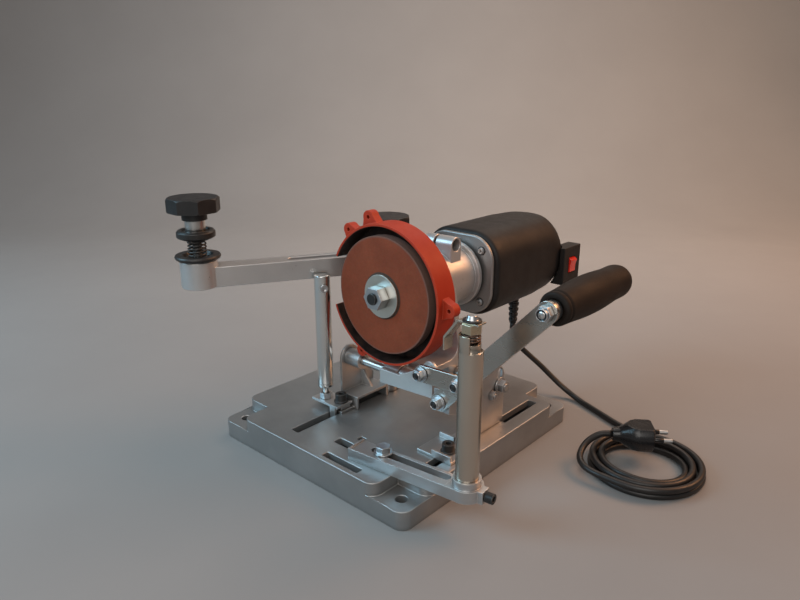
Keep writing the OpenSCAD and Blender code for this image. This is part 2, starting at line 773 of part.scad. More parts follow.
// Wheel on its spindle, and the guard round it
module wheel_flanges() {
  bore = spindle_d + 2 * fit;
  color(zinc) {
    tube_y([spindle_x, wheel_y - wheel_washer_t, spindle_z], wheel_washer_d, bore, wheel_washer_t);
    tube_y([spindle_x, wheel_y + wheel_t, spindle_z], inner_flange_d, bore, inner_flange_t);
  }
}
module grinding_wheel() {
  color([0.42, 0.2, 0.14]) tube_y([spindle_x, wheel_y, spindle_z], wheel_d, spindle_d + 2 * fit, wheel_t);
}
wheel_nut_af = 22;
module wheel_nut() {
  color(zinc) nut_along_y([spindle_x, wheel_nut_y, spindle_z], wheel_nut_af, spindle_d, wheel_nut_h);
}
guard_mouth = [155, 199];
guard_mouth_r = 46;
guard_ears = [132, 108, 0, 242];
guard_ear_d = 14;
guard_ear_hole = 4;
guard_ear_l = 10;
guard_ear_flare = 11;
guard_ear_r = guard_r + guard_wall + 7;
guard_ear_y = guard_front + 7;
module at_guard_ears(y) {
  for (a = guard_ears) translate([spindle_x, y, spindle_z]) rotate([0, -a, 0]) children();
}
module wheel_guard() {
  outer = 2 * (guard_r + guard_wall);
  ear_root = guard_r + guard_wall / 2;
  reach = outer;
  color([0.85, 0.16, 0.08]) difference() {
    union() {
      tube_y([spindle_x, guard_front, spindle_z], outer, 2 * guard_r, guard_back - guard_front);
      rod_along_y([spindle_x, guard_back - guard_wall, spindle_z], outer, guard_wall);
      at_guard_ears(guard_ear_y) {
        rod_along_y([guard_ear_r, 0, 0], guard_ear_d, guard_ear_l);
        plate_xz(0, guard_ear_l) polygon([[ear_root, -guard_ear_flare], [guard_ear_r, -guard_ear_d / 2],
          [guard_ear_r, guard_ear_d / 2], [ear_root, guard_ear_flare]]);
      }
    }
    at_guard_ears(guard_ear_y - 1)
      rod_along_y([guard_ear_r, 0, 0], guard_ear_hole, guard_ear_l + 2);
    plate_xz(guard_front - 1, guard_back - guard_front + 2) translate([spindle_x, spindle_z]) difference() {
      polygon([[0, 0], reach * [cos(guard_mouth[0]), sin(guard_mouth[0])],
        reach * [cos(guard_mouth[1]), sin(guard_mouth[1])]]);
      circle(guard_mouth_r);
    }
    rod_along_y([spindle_x, guard_back - guard_wall - 1, spindle_z], bearing_d - 6, guard_wall + 2);
    at_guard_screws(guard_back - guard_wall - 1)
      rod_along_y([0, 0, 0], guard_screw_d + 2 * fit, guard_wall + 2);
  }
}

// Tubes swept along points, with a frame carried from ring to ring
function unit(v) = v / norm(v);
function tangents(p) =
  [for (i = [0:len(p) - 1]) unit(p[min(i + 1, len(p) - 1)] - p[max(i - 1, 0)])];
function across(v, t) = unit(v - (v * t) * t);
function frames(t, first) =
  [for (i = 0, n = across(first, t[0]); i < len(t); i = i + 1, n = i < len(t) ? across(n, t[i]) : n) n];
module swept_tube(p, d, sides, first) {
  t = tangents(p);
  n = frames(t, first);
  last = (len(p) - 1) * sides;
  points = [for (i = [0:len(p) - 1], k = [0:sides - 1])
    let (a = 360 * k / sides) p[i] + d / 2 * (cos(a) * n[i] + sin(a) * cross(t[i], n[i]))];
  walls = [for (i = [0:len(p) - 2], k = [0:sides - 1], half = [0, 1])
    let (a = i * sides + k, b = i * sides + (k + 1) % sides)
      half == 0 ? [a, a + sides, b] : [b, a + sides, b + sides]];
  caps = [for (k = [1:sides - 2], end = [0, 1])
    end == 0 ? [0, k, k + 1] : [last, last + k + 1, last + k]];
  polyhedron(points, concat(walls, caps));
}
function least_gap(p, skip, d) =
  min([for (i = [0:len(p) - skip - 1], j = [i + skip:len(p) - 1]) norm(p[i] - p[j])]) - d;

// Coil: spirals in on the floor, climbs a layer in half a turn, and spirals out on top
coil_x = 256;
coil_y = 104;
coil_pitch = cord_d + 2;
coil_layer = cord_d + 0.8;
coil_z = cord_d / 2 + 0.1;
coil_outer_r = coil_inner_r + coil_pitch * coil_turns;
coil_rings = 24;
climb = 0.5;
coil_total = 2 * coil_turns + climb;
function coil_r(u) = u < coil_turns ? coil_outer_r - coil_pitch * u
  : coil_inner_r + coil_pitch * max(0, u - coil_turns - climb);
function coil_point(u) = [coil_x + coil_r(u) * cos(90 - 360 * u), coil_y + coil_r(u) * sin(90 - 360 * u),
  coil_z + coil_layer * min(1, max(0, (u - coil_turns) / climb))];
coil_in = [coil_x - cord_d, coil_y + coil_outer_r, coil_z];
coil_out = [coil_x - cord_d, coil_y - coil_outer_r, coil_z + coil_layer];
coil_path = concat([coil_in], [for (i = [0:coil_total * coil_rings]) coil_point(i / coil_rings)], [coil_out]);
echo(coil_gap = least_gap(coil_path, coil_rings / 2, cord_d));

// The cord's free stretches, as points chosen along their routes
cord_route = [[relief_x, relief_y, relief_z], [relief_x, relief_y, relief_z - 10], [47, 171, 76],
  [53, 178, 63], [63, 186, 51], [75, 193, 39], [88, 199, 26], [101, 203, 15], [115, 204, 7.5], [130, 200, 4],
  [147, 193, coil_z], [168, 184, coil_z], [192, 174, coil_z], [216, 167, coil_z],
  [234, coil_in[1], coil_z], coil_in];
lead_route = [coil_out, [240, 44, 11.5], [229, 44.5, 11.7], [216, 48, 12.4], [206, 57, 14], [201.5, 69, 17],
  [201.5, 80, 21.5], [205.5, 89.5, 26], [209.5, 94.4, 28.3], [213.3, 97.9, 29], [219, 102, 29]];
plug_turn = atan2(4.1, 5.7);
plug_back = lead_route[len(lead_route) - 1];
plug_l = 42;
plug_d = 36;
plug_neck_d = 13;
plug_flat = 26;
pin_d = 4.8;
pin_l = 19;
pin_gap = 19;
pin_root = 8;
module power_cord() { color(black) swept_tube(cord_route, cord_d, 8, [1, 0, 0]); }
module cord_coil() { color(black) swept_tube(coil_path, cord_d, 6, [0, 0, 1]); }
module plug_lead() { color(black) swept_tube(lead_route, cord_d, 8, [0, 0, 1]); }
module at_plug() { translate(plug_back) rotate([0, 0, plug_turn]) children(); }
module plug_body() {
  r = plug_d / 2;
  color(black) at_plug() difference() {
    intersection() {
      rotate([0, 90, 0]) rotate_extrude() polygon([[0, 0], [plug_neck_d / 2, 0], [plug_neck_d / 2 + 2, 8],
        [r - 2, 20], [r, 26], [r, plug_l - 2], [r - 2, plug_l], [0, plug_l]]);
      translate([0, -r, -plug_flat / 2]) cube([plug_l, plug_d, plug_flat]);
    }
    for (y = [-1, 1])
      rod_x([plug_l - pin_root, y * pin_gap / 2, 0], pin_d + 2 * fit, pin_root + 1);
  }
}
module plug_pins() {
  color(bright) at_plug() for (y = [-1, 1])
    rod_x([plug_l - pin_root, y * pin_gap / 2, 0], pin_d, pin_root + pin_l);
}

// Lever, link, pivots and grip
grip_bolt_d = pivot_d + 2;
module lever() {
  color(bright) difference() {
    plate_xz(lever_y, lever_t) slot_2d(pivot_c, grip_at, lever_w);
    for (p = [pivot_c, pivot_b]) rod_along_y([p[0], lever_y - 1, p[1]], pivot_d + 2 * fit, lever_t + 2);
    rod_along_y([grip_at[0], lever_y - 1, grip_at[1]], grip_bolt_d + 2 * fit, lever_t + 2);
  }
}
link_w = 18;
module lever_link() {
  span = pivot_b - pivot_a;
  link_l = norm(span);
  color(bright) translate([pivot_a[0], link_y, pivot_a[1]])
    rotate([0, -atan2(span[1], span[0]), 0]) difference() {
      plate_xz(0, lever_t) slot_2d([0, 0], [link_l, 0], link_w);
      rod_along_y([0, -1, 0], pivot_d + 2 * fit, lever_t + 2);
      rod_along_y([link_l, -1, 0], pivot_d + 2 * open_slack, lever_t + 2);
    }
}

// A pivot bolt along Y: head at the back, shank, and a washer and lock nut in front
pivot_head = 3;
pivot_washer_d = 16;
pivot_washer_t = 1;
lock_nut_af = 11;
lock_nut_h = 6;
module pivot_bolt(p, front, back) {
  washer_y = front - face_gap - pivot_washer_t;
  nut_y = washer_y - lock_nut_h;
  rod_along_y([p[0], back, p[1]], lock_nut_af, pivot_head);
  rod_along_y([p[0], nut_y + 0.5, p[1]], pivot_d, back - nut_y);
  tube_y([p[0], washer_y, p[1]], pivot_washer_d, pivot_d + 2 * fit, pivot_washer_t);
  nut_along_y([p[0], nut_y, p[1]], lock_nut_af, pivot_d, lock_nut_h);
}
spacer_d = 12;
module pivot_a() {
  spacer_y = link_y + lever_t + face_gap;
  color(zinc) {
    pivot_bolt(pivot_a, link_y, block_front + block_t);
    tube_y([pivot_a[0], spacer_y, pivot_a[1]], spacer_d, pivot_d + 2 * fit, block_front - spacer_y);
  }
}
module pivot_b() { color(zinc) pivot_bolt(pivot_b, link_y, lever_y + lever_t); }
module pivot_c() { color(zinc) pivot_bolt(pivot_c, lever_y, ear_y + sheet); }
grip_collar = 7;
grip_collar_d = 18;
grip_y = lever_y + lever_t + grip_collar + face_gap;
grip_hole = grip_l - 20;
grip_nut_af = 13;
module grip() {
  r = grip_d / 2;
  color(black) difference() {
    translate([grip_at[0], grip_y, grip_at[1]]) rotate([-90, 0, 0]) rotate_extrude()
      polygon([[0, 0], [r - 5, 0], [r - 3.5, 4], [r - 2, 20], [r, 50], [r, 75], [r - 2, grip_l - 22],
        [r - 4.5, grip_l - 8], [r - 8, grip_l - 2], [r - 12, grip_l], [0, grip_l]]);
    rod_along_y([grip_at[0], grip_y - 1, grip_at[1]], grip_bolt_d + 2 * fit, grip_hole + 1);
  }
}
module grip_bolt() {
  nut_y = lever_y - lock_nut_h - 1;
  color(zinc) {
    rod_along_y([grip_at[0], nut_y - 1, grip_at[1]], grip_bolt_d, grip_y + grip_hole - nut_y);
    nut_along_y([grip_at[0], nut_y, grip_at[1]], grip_nut_af, grip_bolt_d, lock_nut_h + 1);
    tube_y([grip_at[0], lever_y + lever_t, grip_at[1]], grip_collar_d, grip_bolt_d + 2 * fit, grip_collar);
  }
}

// Blade arm on its column
column_foot_d = column_d + 8;
column_foot_h = 8;
column_thread = 34;
module arm_column() {
  color(bright) translate([column_x, column_y, 0]) difference() {
    union() {
      translate([0, 0, nut_z - 1]) cylinder(d = column_bolt_d, h = base_h - nut_z + 2);
      translate([0, 0, base_h]) cylinder(d = column_foot_d, h = column_foot_h);
      translate([0, 0, base_h]) cylinder(d = column_d, h = arm_z - base_h);
    }
    translate([0, 0, arm_z - column_thread]) cylinder(d = stud_d + 2 * fit, h = column_thread + 1);
  }
}
arm_slot = [0, 110];
stud_seat = 5;
module blade_arm() {
  color(cast) translate([column_x, column_y, arm_z]) rotate([0, 0, 270 - arm_angle]) difference() {
    union() {
      translate([0, -arm_w / 2, 0]) cube([arm_l, arm_w, arm_t]);
      cylinder(d = arm_w, h = arm_t);
      translate([arm_l, 0, 0]) cylinder(d = boss_d, h = arm_t + boss_step);
    }
    translate([0, 0, -1]) linear_extrude(arm_t + 2)
      slot_2d([arm_slot[0], 0], [arm_slot[1], 0], stud_d + 2 * fit);
    translate([arm_l, 0, stud_seat]) cylinder(d = stud_d + 2 * fit, h = arm_t + boss_step);
  }
}

// An eight-sided knob on a round hub
knob_chamfer = 1;
module knob(d, hub_d, hub_h, h) {
  cylinder(d = hub_d, h = hub_h);
  translate([0, 0, hub_h]) intersection() {
    rotate(22.5) cylinder(d = d, h = h, $fn = 8);
    rotate_extrude() polygon([[0, 0], [d / 2 - knob_chamfer, 0], [d / 2 + 1, knob_chamfer + 1],
      [d / 2 + 1, h - 2 * knob_chamfer - 1], [d / 2 - 2 * knob_chamfer, h], [0, h]]);
  }
}
arm_washer_d = 30;
arm_washer_t = 4;
arm_hub = [26, 14];
arm_knob_h = 23;
module arm_knob() {
  color(black) translate([column_x, column_y, 0]) {
    translate([0, 0, arm_z - column_thread + 4]) cylinder(d = stud_d, h = column_thread + arm_t);
    translate([0, 0, arm_top + arm_washer_t]) knob(arm_knob_d, arm_hub[0], arm_hub[1], arm_knob_h);
  }
}
module arm_washer() {
  color(zinc) translate([column_x, column_y, arm_top]) difference() {
    cylinder(d = arm_washer_d, h = arm_washer_t);
    translate([0, 0, -1]) cylinder(d = stud_d + 2 * fit, h = arm_washer_t + 2);
  }
}

// Blade clamp on the arm's boss, from the centring cone up to the knob
cone_d = [40, 48];
cone_h = 6;
cup_floor = 2;
cup_r = 14;
disc_z = boss_top + 21.5;
disc_d = 40;
disc_h = 11;
disc_recess = 2;
sleeve_d = 21;
sleeve_h = 10.2;
sleeve_z = disc_z + disc_h + face_gap;
clamp_knob_z = sleeve_z + sleeve_h;
clamp_hub = [26, 8.5];
clamp_knob_h = 15;
stud_in_knob = 14;
module at_boss(z) { translate([boss_x, boss_y, z]) children(); }
module centring_cone() {
  r = stud_d / 2 + fit;
  color(black) at_boss(boss_top) rotate_extrude() polygon([[r, 0], [cone_d[0] / 2, 0],
    [cone_d[1] / 2 - 1, cone_h - 4], [cone_d[1] / 2, cone_h - 2], [cone_d[1] / 2 - 1, cone_h],
    [cup_r + 2, cone_h], [cup_r, cup_floor], [r, cup_floor]]);
}
module clamp_stud() {
  color([0.2, 0.2, 0.21]) at_boss(arm_z + stud_seat)
    cylinder(d = stud_d, h = clamp_knob_z + stud_in_knob - arm_z - stud_seat);
}
module clamp_disc() {
  r = stud_d / 2 + face_gap;
  color(black) at_boss(disc_z) rotate_extrude() polygon([[r, 0], [disc_d / 2 - 8, 0], [disc_d / 2 - 1, 3],
    [disc_d / 2, 4], [disc_d / 2, disc_h - 2], [disc_d / 2 - 2, disc_h], [disc_d / 2 - 5, disc_h],
    [disc_d / 2 - 6, disc_h - disc_recess], [sleeve_d / 2, disc_h - disc_recess],
    [sleeve_d / 2, disc_h], [r, disc_h]]);
}
module clamp_sleeve() {
  color(bright) at_boss(sleeve_z) difference() {
    cylinder(d = sleeve_d, h = sleeve_h);
    translate([0, 0, -1]) cylinder(d = stud_d + 2 * fit, h = sleeve_h + 2);
  }
}
module clamp_knob() {
  color(black) at_boss(clamp_knob_z) difference() {
    knob(clamp_knob_d, clamp_hub[0], clamp_hub[1], clamp_knob_h);
    translate([0, 0, -1]) cylinder(d = stud_d + 2 * fit, h = stud_in_knob + 1);
  }
}

// Springs: one tube wound along a helix, with straight ends
function helix(r, z, h, turns, wire) = concat([[r, -wire, z]],
  [for (i = [0:8 * turns]) [r * cos(45 * i), r * sin(45 * i), z + h * i / (8 * turns)]],
  [[r, wire, z + h]]);
clamp_wire = 1.8;
clamp_spring_r = stud_d / 2 + 4;
clamp_spring_turns = 5;
clamp_spring_z = boss_top + cup_floor + clamp_wire / 2 + 0.1;
clamp_spring_h = disc_z - clamp_wire / 2 - 0.3 - clamp_spring_z;
clamp_helix = helix(clamp_spring_r, clamp_spring_z, clamp_spring_h, clamp_spring_turns, clamp_wire);
echo(clamp_spring_gap = least_gap(clamp_helix, 5, clamp_wire));
module clamp_spring() {
  color([0.25, 0.25, 0.27]) at_boss(0) swept_tube(clamp_helix, clamp_wire, 6, [0, 0, 1]);
}

// Left post on a raised plate, forked round the bracket's screw, with a tongue bent down into the slot
left_post_x = -55.5;
left_post_y = -65;
left_post_z = base_h + 24.5;
left_stud_d = 8;
left_stud_end = 4;
fork_w = screw_d + 1;
fork_end = 6;
tongue = [9, 3, 14];
pad = [3, 14];
pad_x = 6;
strip_nut_af = 13;
strip_nut_h = 7;
cross_z = left_post_top - 13.5;
cross_d = 5;
cross_head = [9, 2.5];
cross_socket = [4, 1.3];
cross_turn = -32;
module at_left_post(z) { translate([left_post_x, left_post_y, z]) children(); }
module left_post() {
  stud_z = plate_z - left_stud_end;
  color(bright) difference() {
    union() {
      at_left_post(stud_z) cylinder(d = left_stud_d, h = left_post_z - stud_z + 1);
      at_left_post(left_post_z) cylinder(d = left_post_d, h = left_post_top - left_post_z);
    }
    at_left_post(cross_z) rotate([0, 0, cross_turn])
      rod_x([-left_post_d, 0, 0], cross_d + 2 * fit, 2 * left_post_d);
  }
}
module post_foot() {
  pad_z = base_h + sheet + face_gap;
  color(zinc) difference() {
    union() {
      translate([plate_x[0], plate_y[0], plate_z])
        cube([plate_x[1] - plate_x[0], plate_y[1] - plate_y[0], sheet]);
      translate([left_slot_x - tongue[0] / 2, plate_y[0], base_h - tongue[2]])
        cube([tongue[0], tongue[1], plate_z - base_h + tongue[2] + 1]);
      for (side = [-1, 1])
        translate([left_slot_x + side * pad_x - pad[0] / 2, left_screw[1] - pad[1] / 2, pad_z])
          cube([pad[0], pad[1], plate_z - pad_z + 1]);
    }
    at_left_post(plate_z - 1) cylinder(d = left_stud_d + 2 * fit, h = sheet + 2);
    translate([left_slot_x - fork_w / 2, left_screw[1] - fork_end, plate_z - 1])
      cube([fork_w, plate_y[1] - left_screw[1] + fork_end + 1, sheet + 2]);
  }
}
module post_nut() {
  side = left_post_d / 2 + slack;
  color(zinc) {
    at_left_post(plate_z + sheet) linear_extrude(strip_nut_h) nut_2d(strip_nut_af, left_stud_d);
    at_left_post(cross_z) rotate([0, 0, cross_turn]) {
      rod_x([-side, 0, 0], cross_d, 2 * side + 1);
      difference() {
        rod_x([side, 0, 0], cross_head[0], cross_head[1]);
        translate([side + cross_head[1] - cross_socket[1], 0, 0]) rotate([0, 90, 0])
          linear_extrude(cross_head[1]) hexagon(cross_socket[0]);
      }
    }
  }
}

// Slotted bar on the base, with the right post in its end
bar_x = 80;
bar_tail = 33;
bar_slot = [-9.5, 73.5];
bar_slot_w = 9;
bar_far = 8.3;
bar_rim = 2.2;
bar_recess = 1.5;
bar_bolt_d = 8;
bar_boss_d = post_d + 10;
collar_d = post_d + 5;
collar_h = 7;
post_floor = 3;
post_z = base_h + post_floor;
post_lug = [20, 12];
post_screw_d = 6;
post_screw_z = base_h + bar_t / 2;
module at_bar() { translate([bar_x, front_slot_y, 0]) rotate([0, 0, bar_angle]) children(); }
module slotted_bar() {
  channel_x = bar_rim - bar_tail;
  channel_end = bar_slot[1] + bar_slot_w / 2 + bar_rim;
  color(zinc) at_bar() difference() {
    union() {
      translate([-bar_tail, bar_far - bar_w, base_h]) cube([bar_tail + bar_l, bar_w, bar_t]);
      translate([bar_l, 0, base_h]) cylinder(d = bar_boss_d, h = bar_t);
      translate([bar_l, 0, base_h]) cylinder(d = collar_d, h = bar_t + collar_h);
      translate([bar_l, -post_lug[1] / 2, base_h]) cube([post_lug[0], post_lug[1], bar_t]);
    }
    translate([0, 0, base_h - 1]) linear_extrude(bar_t + 2)
      slot_2d([bar_slot[0], 0], [bar_slot[1], 0], bar_slot_w);
    translate([channel_x, bar_far - bar_w + bar_rim, base_h + bar_t - bar_recess])
      cube([channel_end - channel_x, bar_w, bar_recess + 1]);
    translate([bar_l, 0, post_z]) cylinder(d = post_d + 2 * fit, h = bar_t + collar_h);
    rod_x([bar_l, 0, post_screw_z], post_screw_d + 2 * fit, post_lug[0] + 1);
  }
}
bar_washer = [19, 2];
bar_head = [13, 6];
module bar_bolt() {
  top = base_h + bar_t - bar_recess;
  color(zinc) at_bar() {
    translate([0, 0, nut_z - 1]) cylinder(d = bar_bolt_d, h = top - nut_z + 2);
    translate([0, 0, top]) cylinder(d = bar_washer[0], h = bar_washer[1]);
    translate([0, 0, top + bar_washer[1]]) linear_extrude(bar_head[1]) hexagon(bar_head[0]);
    translate([0, 0, nut_z]) linear_extrude(nut_h - face_gap) nut_2d(slot_nut_af, bar_bolt_d);
  }
}
post_head = [10, 8];
module post_screw() {
  tip = post_d / 2 + 0.1;
  color(black) at_bar() translate([bar_l, 0, post_screw_z]) difference() {
    union() {
      rod_x([tip, 0, 0], post_screw_d, post_lug[0] - tip + 1);
      rod_x([post_lug[0] + slack, 0, 0], post_head[0], post_head[1]);
    }
    translate([post_lug[0] + post_head[1] / 2, 0, 0]) rotate([0, 90, 0])
      linear_extrude(post_head[1]) hexagon(post_head[0] / 2);
  }
}

// Right post and the sprung pawl on top of it
module at_post(z) {
  translate([bar_x + bar_l * cos(bar_angle), front_slot_y + bar_l * sin(bar_angle), z]) children();
}
pawl_bolt_d = 6;
spring_bore = post_d - 4;
spring_seat = 8;
core_d = post_d - 5;
post_notch = 15;
notch_side = 1.5;
notch_turn = 22;
post_thread = 51;
module right_post() {
  color([0.72, 0.64, 0.48]) difference() {
    at_post(post_z) cylinder(d = post_d, h = post_top - post_z);
    at_post(post_top - post_thread) cylinder(d = pawl_bolt_d + 2 * fit, h = post_thread + 1);
    at_post(post_top - spring_seat) cylinder(d = spring_bore, h = spring_seat + 1);
    at_post(post_top - post_notch) rotate([0, 0, notch_turn]) difference() {
      translate([notch_side, -post_d, 0]) cube([post_d, 2 * post_d, post_notch + 1]);
      translate([0, 0, -1]) cylinder(d = core_d, h = post_notch + 3);
    }
  }
}
pawl_nut_z = post_top + 1.5;
pawl_nut_af = 16.5;
pawl_nut_h = 8.5;
pawl_z = pawl_nut_z + pawl_nut_h;
pawl_w = 12;
pawl_t = 1.5;
pawl_flat = pawl_nut_af / 2 / cos(30) + 0.7;
pawl_reach = 26;
pawl_drop = 18.5;
pawl_tip = 11.5;
module pawl() {
  color([0.78, 0.72, 0.55]) at_post(pawl_z) difference() {
    plate_xz(-pawl_w / 2, pawl_w) polygon([[pawl_flat, 0], [pawl_flat, pawl_t],
      [-pawl_flat - pawl_t, pawl_t], [-pawl_reach, pawl_t - pawl_drop], [-pawl_reach, -pawl_drop - pawl_tip],
      [pawl_t - pawl_reach, -pawl_drop - pawl_tip], [pawl_t - pawl_reach, -pawl_drop], [-pawl_flat, 0]]);
    translate([0, 0, -1]) cylinder(d = pawl_bolt_d + 2 * fit, h = pawl_t + 2);
  }
}
pawl_washer = [16, 1.5];
pawl_head = [11, 4];
module pawl_bolt() {
  seat = pawl_z + pawl_t;
  color(zinc) {
    at_post(post_top - post_thread + 6) cylinder(d = pawl_bolt_d, h = seat - post_top + post_thread - 5);
    at_post(seat) cylinder(d = pawl_washer[0], h = pawl_washer[1]);
    at_post(seat + pawl_washer[1]) cylinder(d1 = pawl_head[0], d2 = pawl_head[0] - 3, h = pawl_head[1]);
  }
}
module pawl_nut() {
  color([0.78, 0.6, 0.2]) at_post(pawl_nut_z) linear_extrude(pawl_nut_h) nut_2d(pawl_nut_af, pawl_bolt_d);
}
pawl_wire = 1.4;
pawl_spring_r = spring_bore / 2 - pawl_wire;
pawl_spring_turns = 3;
pawl_spring_z = post_top - spring_seat + pawl_wire / 2 + 0.1;
pawl_spring_h = pawl_nut_z - pawl_wire / 2 - 0.3 - pawl_spring_z;
pawl_helix = helix(pawl_spring_r, pawl_spring_z, pawl_spring_h, pawl_spring_turns, pawl_wire);
echo(pawl_spring_gap = least_gap(pawl_helix, 5, pawl_wire));
module pawl_spring() {
  color([0.2, 0.17, 0.15]) at_post(0) swept_tube(pawl_helix, pawl_wire, 6, [0, 0, 1]);
}

base_plate();
left_bracket();
right_bracket();
rod_bushes();
guide_rod();
bracket_screws();
slot_nuts();
stop_bolt();
rear_rod();
tilt_nut();
carriage_block();
motor_support();
clamp_screw();
motor_flange();
motor_screws();
motor_housing();
stator();
rotor();
bearings();
spindle();
switch_box();
rocker();
strain_relief();
power_cord();
cord_coil();
plug_lead();
plug_body();
plug_pins();
grinding_wheel();
wheel_flanges();
wheel_nut();
wheel_guard();
lever();
lever_link();
pivot_a();
pivot_b();
pivot_c();
grip();
grip_bolt();
arm_column();
blade_arm();
arm_knob();
arm_washer();
centring_cone();
clamp_stud();
clamp_spring();
clamp_disc();
clamp_sleeve();
clamp_knob();
left_post();
post_foot();
post_nut();
slotted_bar();
bar_bolt();
post_screw();
right_post();
pawl();
pawl_spring();
pawl_bolt();
pawl_nut();
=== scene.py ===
"""Looks of the bench saw blade sharpener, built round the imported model. Metres, in the model's own frame."""

import math

import bmesh
import bpy
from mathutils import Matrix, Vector


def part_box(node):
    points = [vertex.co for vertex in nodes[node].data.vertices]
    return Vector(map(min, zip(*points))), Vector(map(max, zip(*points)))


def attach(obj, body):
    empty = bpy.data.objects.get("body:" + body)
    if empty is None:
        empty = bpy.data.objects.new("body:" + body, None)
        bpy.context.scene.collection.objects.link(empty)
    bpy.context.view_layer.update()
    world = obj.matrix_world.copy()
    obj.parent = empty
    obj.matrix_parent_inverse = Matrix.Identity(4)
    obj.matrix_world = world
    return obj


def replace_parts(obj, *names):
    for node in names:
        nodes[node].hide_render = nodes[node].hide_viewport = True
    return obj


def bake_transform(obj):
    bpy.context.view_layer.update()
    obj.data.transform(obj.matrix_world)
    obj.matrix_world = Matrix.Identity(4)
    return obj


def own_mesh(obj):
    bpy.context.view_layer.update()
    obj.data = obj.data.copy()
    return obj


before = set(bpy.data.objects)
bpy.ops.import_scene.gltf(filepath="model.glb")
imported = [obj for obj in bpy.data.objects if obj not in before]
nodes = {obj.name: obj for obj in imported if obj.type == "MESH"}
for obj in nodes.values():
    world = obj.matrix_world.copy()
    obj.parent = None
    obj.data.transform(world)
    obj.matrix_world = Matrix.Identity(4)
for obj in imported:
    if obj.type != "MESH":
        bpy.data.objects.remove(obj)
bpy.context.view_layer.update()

MM = 0.001
TAU = 2 * math.pi


# Camera, and the level directions across and along its view
CAMERA_AT = (0.49047, -0.54338, 0.39518)
AZIMUTH = math.radians(42.005)
PITCH = math.radians(17.89)
RIGHT = Vector((math.cos(AZIMUTH), math.sin(AZIMUTH), 0))
AWAY = Vector((-math.sin(AZIMUTH), math.cos(AZIMUTH), 0))
camera_data = bpy.data.cameras.new("camera")
camera_data.sensor_width = 36
camera_data.lens = 30.72
camera = bpy.data.objects.new("camera", camera_data)
camera.location = CAMERA_AT
camera.rotation_euler = (math.pi / 2 - PITCH, 0, AZIMUTH)
bpy.context.scene.collection.objects.link(camera)
bpy.context.scene.camera = camera


# Material helpers
def add(tree, kind, **inputs):
    """A new shader node with some inputs set by name."""
    made = tree.nodes.new(kind)
    for key, value in inputs.items():
        made.inputs[key.replace("_", " ")].default_value = value
    return made


def coords(tree, stretch=(1, 1, 1)):
    place = add(tree, "ShaderNodeMapping", Scale=stretch)
    tree.links.new(add(tree, "ShaderNodeTexCoord").outputs["Object"], place.inputs["Vector"])
    return place.outputs["Vector"]


def noise(tree, vector, scale, detail=4.0, rough=0.55):
    made = add(tree, "ShaderNodeTexNoise", Scale=scale, Detail=detail, Roughness=rough)
    tree.links.new(vector, made.inputs["Vector"])
    return made.outputs["Fac"]


def cells(tree, vector, scale, output="Distance"):
    made = add(tree, "ShaderNodeTexVoronoi", Scale=scale)
    tree.links.new(vector, made.inputs["Vector"])
    return made.outputs[output]


def ramp(tree, value, *stops):
    """Colours along a value, from (place, colour) stops."""
    made = add(tree, "ShaderNodeValToRGB")
    while len(made.color_ramp.elements) < len(stops):
        made.color_ramp.elements.new(0.5)
    for element, (at, colour) in zip(made.color_ramp.elements, stops):
        element.position = at
        element.color = (*colour, 1)
    tree.links.new(value, made.inputs["Fac"])
    return made.outputs["Color"]


def span(tree, value, low, high, start=0.3, end=0.7):
    """Map a value from start to end onto low to high."""
    made = add(tree, "ShaderNodeMapRange")
    for key, number in (("From Min", start), ("From Max", end), ("To Min", low), ("To Max", high)):
        made.inputs[key].default_value = number
    tree.links.new(value, made.inputs["Value"])
    return made.outputs["Result"]


def mix(tree, amount, first, second, blend="MIX"):
    """Mix two colours by an amount. Each may be a socket or a plain value."""
    made = tree.nodes.new("ShaderNodeMix")
    made.data_type = "RGBA"
    made.blend_type = blend
    for socket, value in ((made.inputs[0], amount), (made.inputs[6], first), (made.inputs[7], second)):
        if isinstance(value, bpy.types.NodeSocket):
            tree.links.new(value, socket)
        else:
            socket.default_value = value if isinstance(value, float) else (*value, 1)
    return made.outputs[2]


def bump(tree, height, strength, depth, below=None):
    made = add(tree, "ShaderNodeBump", Strength=strength, Distance=depth)
    tree.links.new(height, made.inputs["Height"])
    if below:
        tree.links.new(below, made.inputs["Normal"])
    return made.outputs["Normal"]


def edge_mask(tree, radius):
    """About 1 along sharp edges and 0 on flats."""
    soft = tree.nodes.new("ShaderNodeBevel")
    soft.samples = 4
    soft.inputs["Radius"].default_value = radius
    dot = tree.nodes.new("ShaderNodeVectorMath")
    dot.operation = "DOT_PRODUCT"
    tree.links.new(soft.outputs["Normal"], dot.inputs[0])
    tree.links.new(tree.nodes.new("ShaderNodeNewGeometry").outputs["Normal"], dot.inputs[1])
    return span(tree, dot.outputs["Value"], 0, 1, 0.993, 0.88)


def corner_shade_mask(tree, reach):
    """About 1 in corners and 0 in the open: the mask of the painted shade."""
    shade = tree.nodes.new("ShaderNodeAmbientOcclusion")
    shade.samples = 6
    shade.inputs["Distance"].default_value = reach
    return span(tree, shade.outputs["AO"], 1, 0, 0.25, 0.75)


EDGE_REACH, CORNER_REACH = 0.0012, 0.008
PIT_COLOUR = (0.06, 0.055, 0.05)


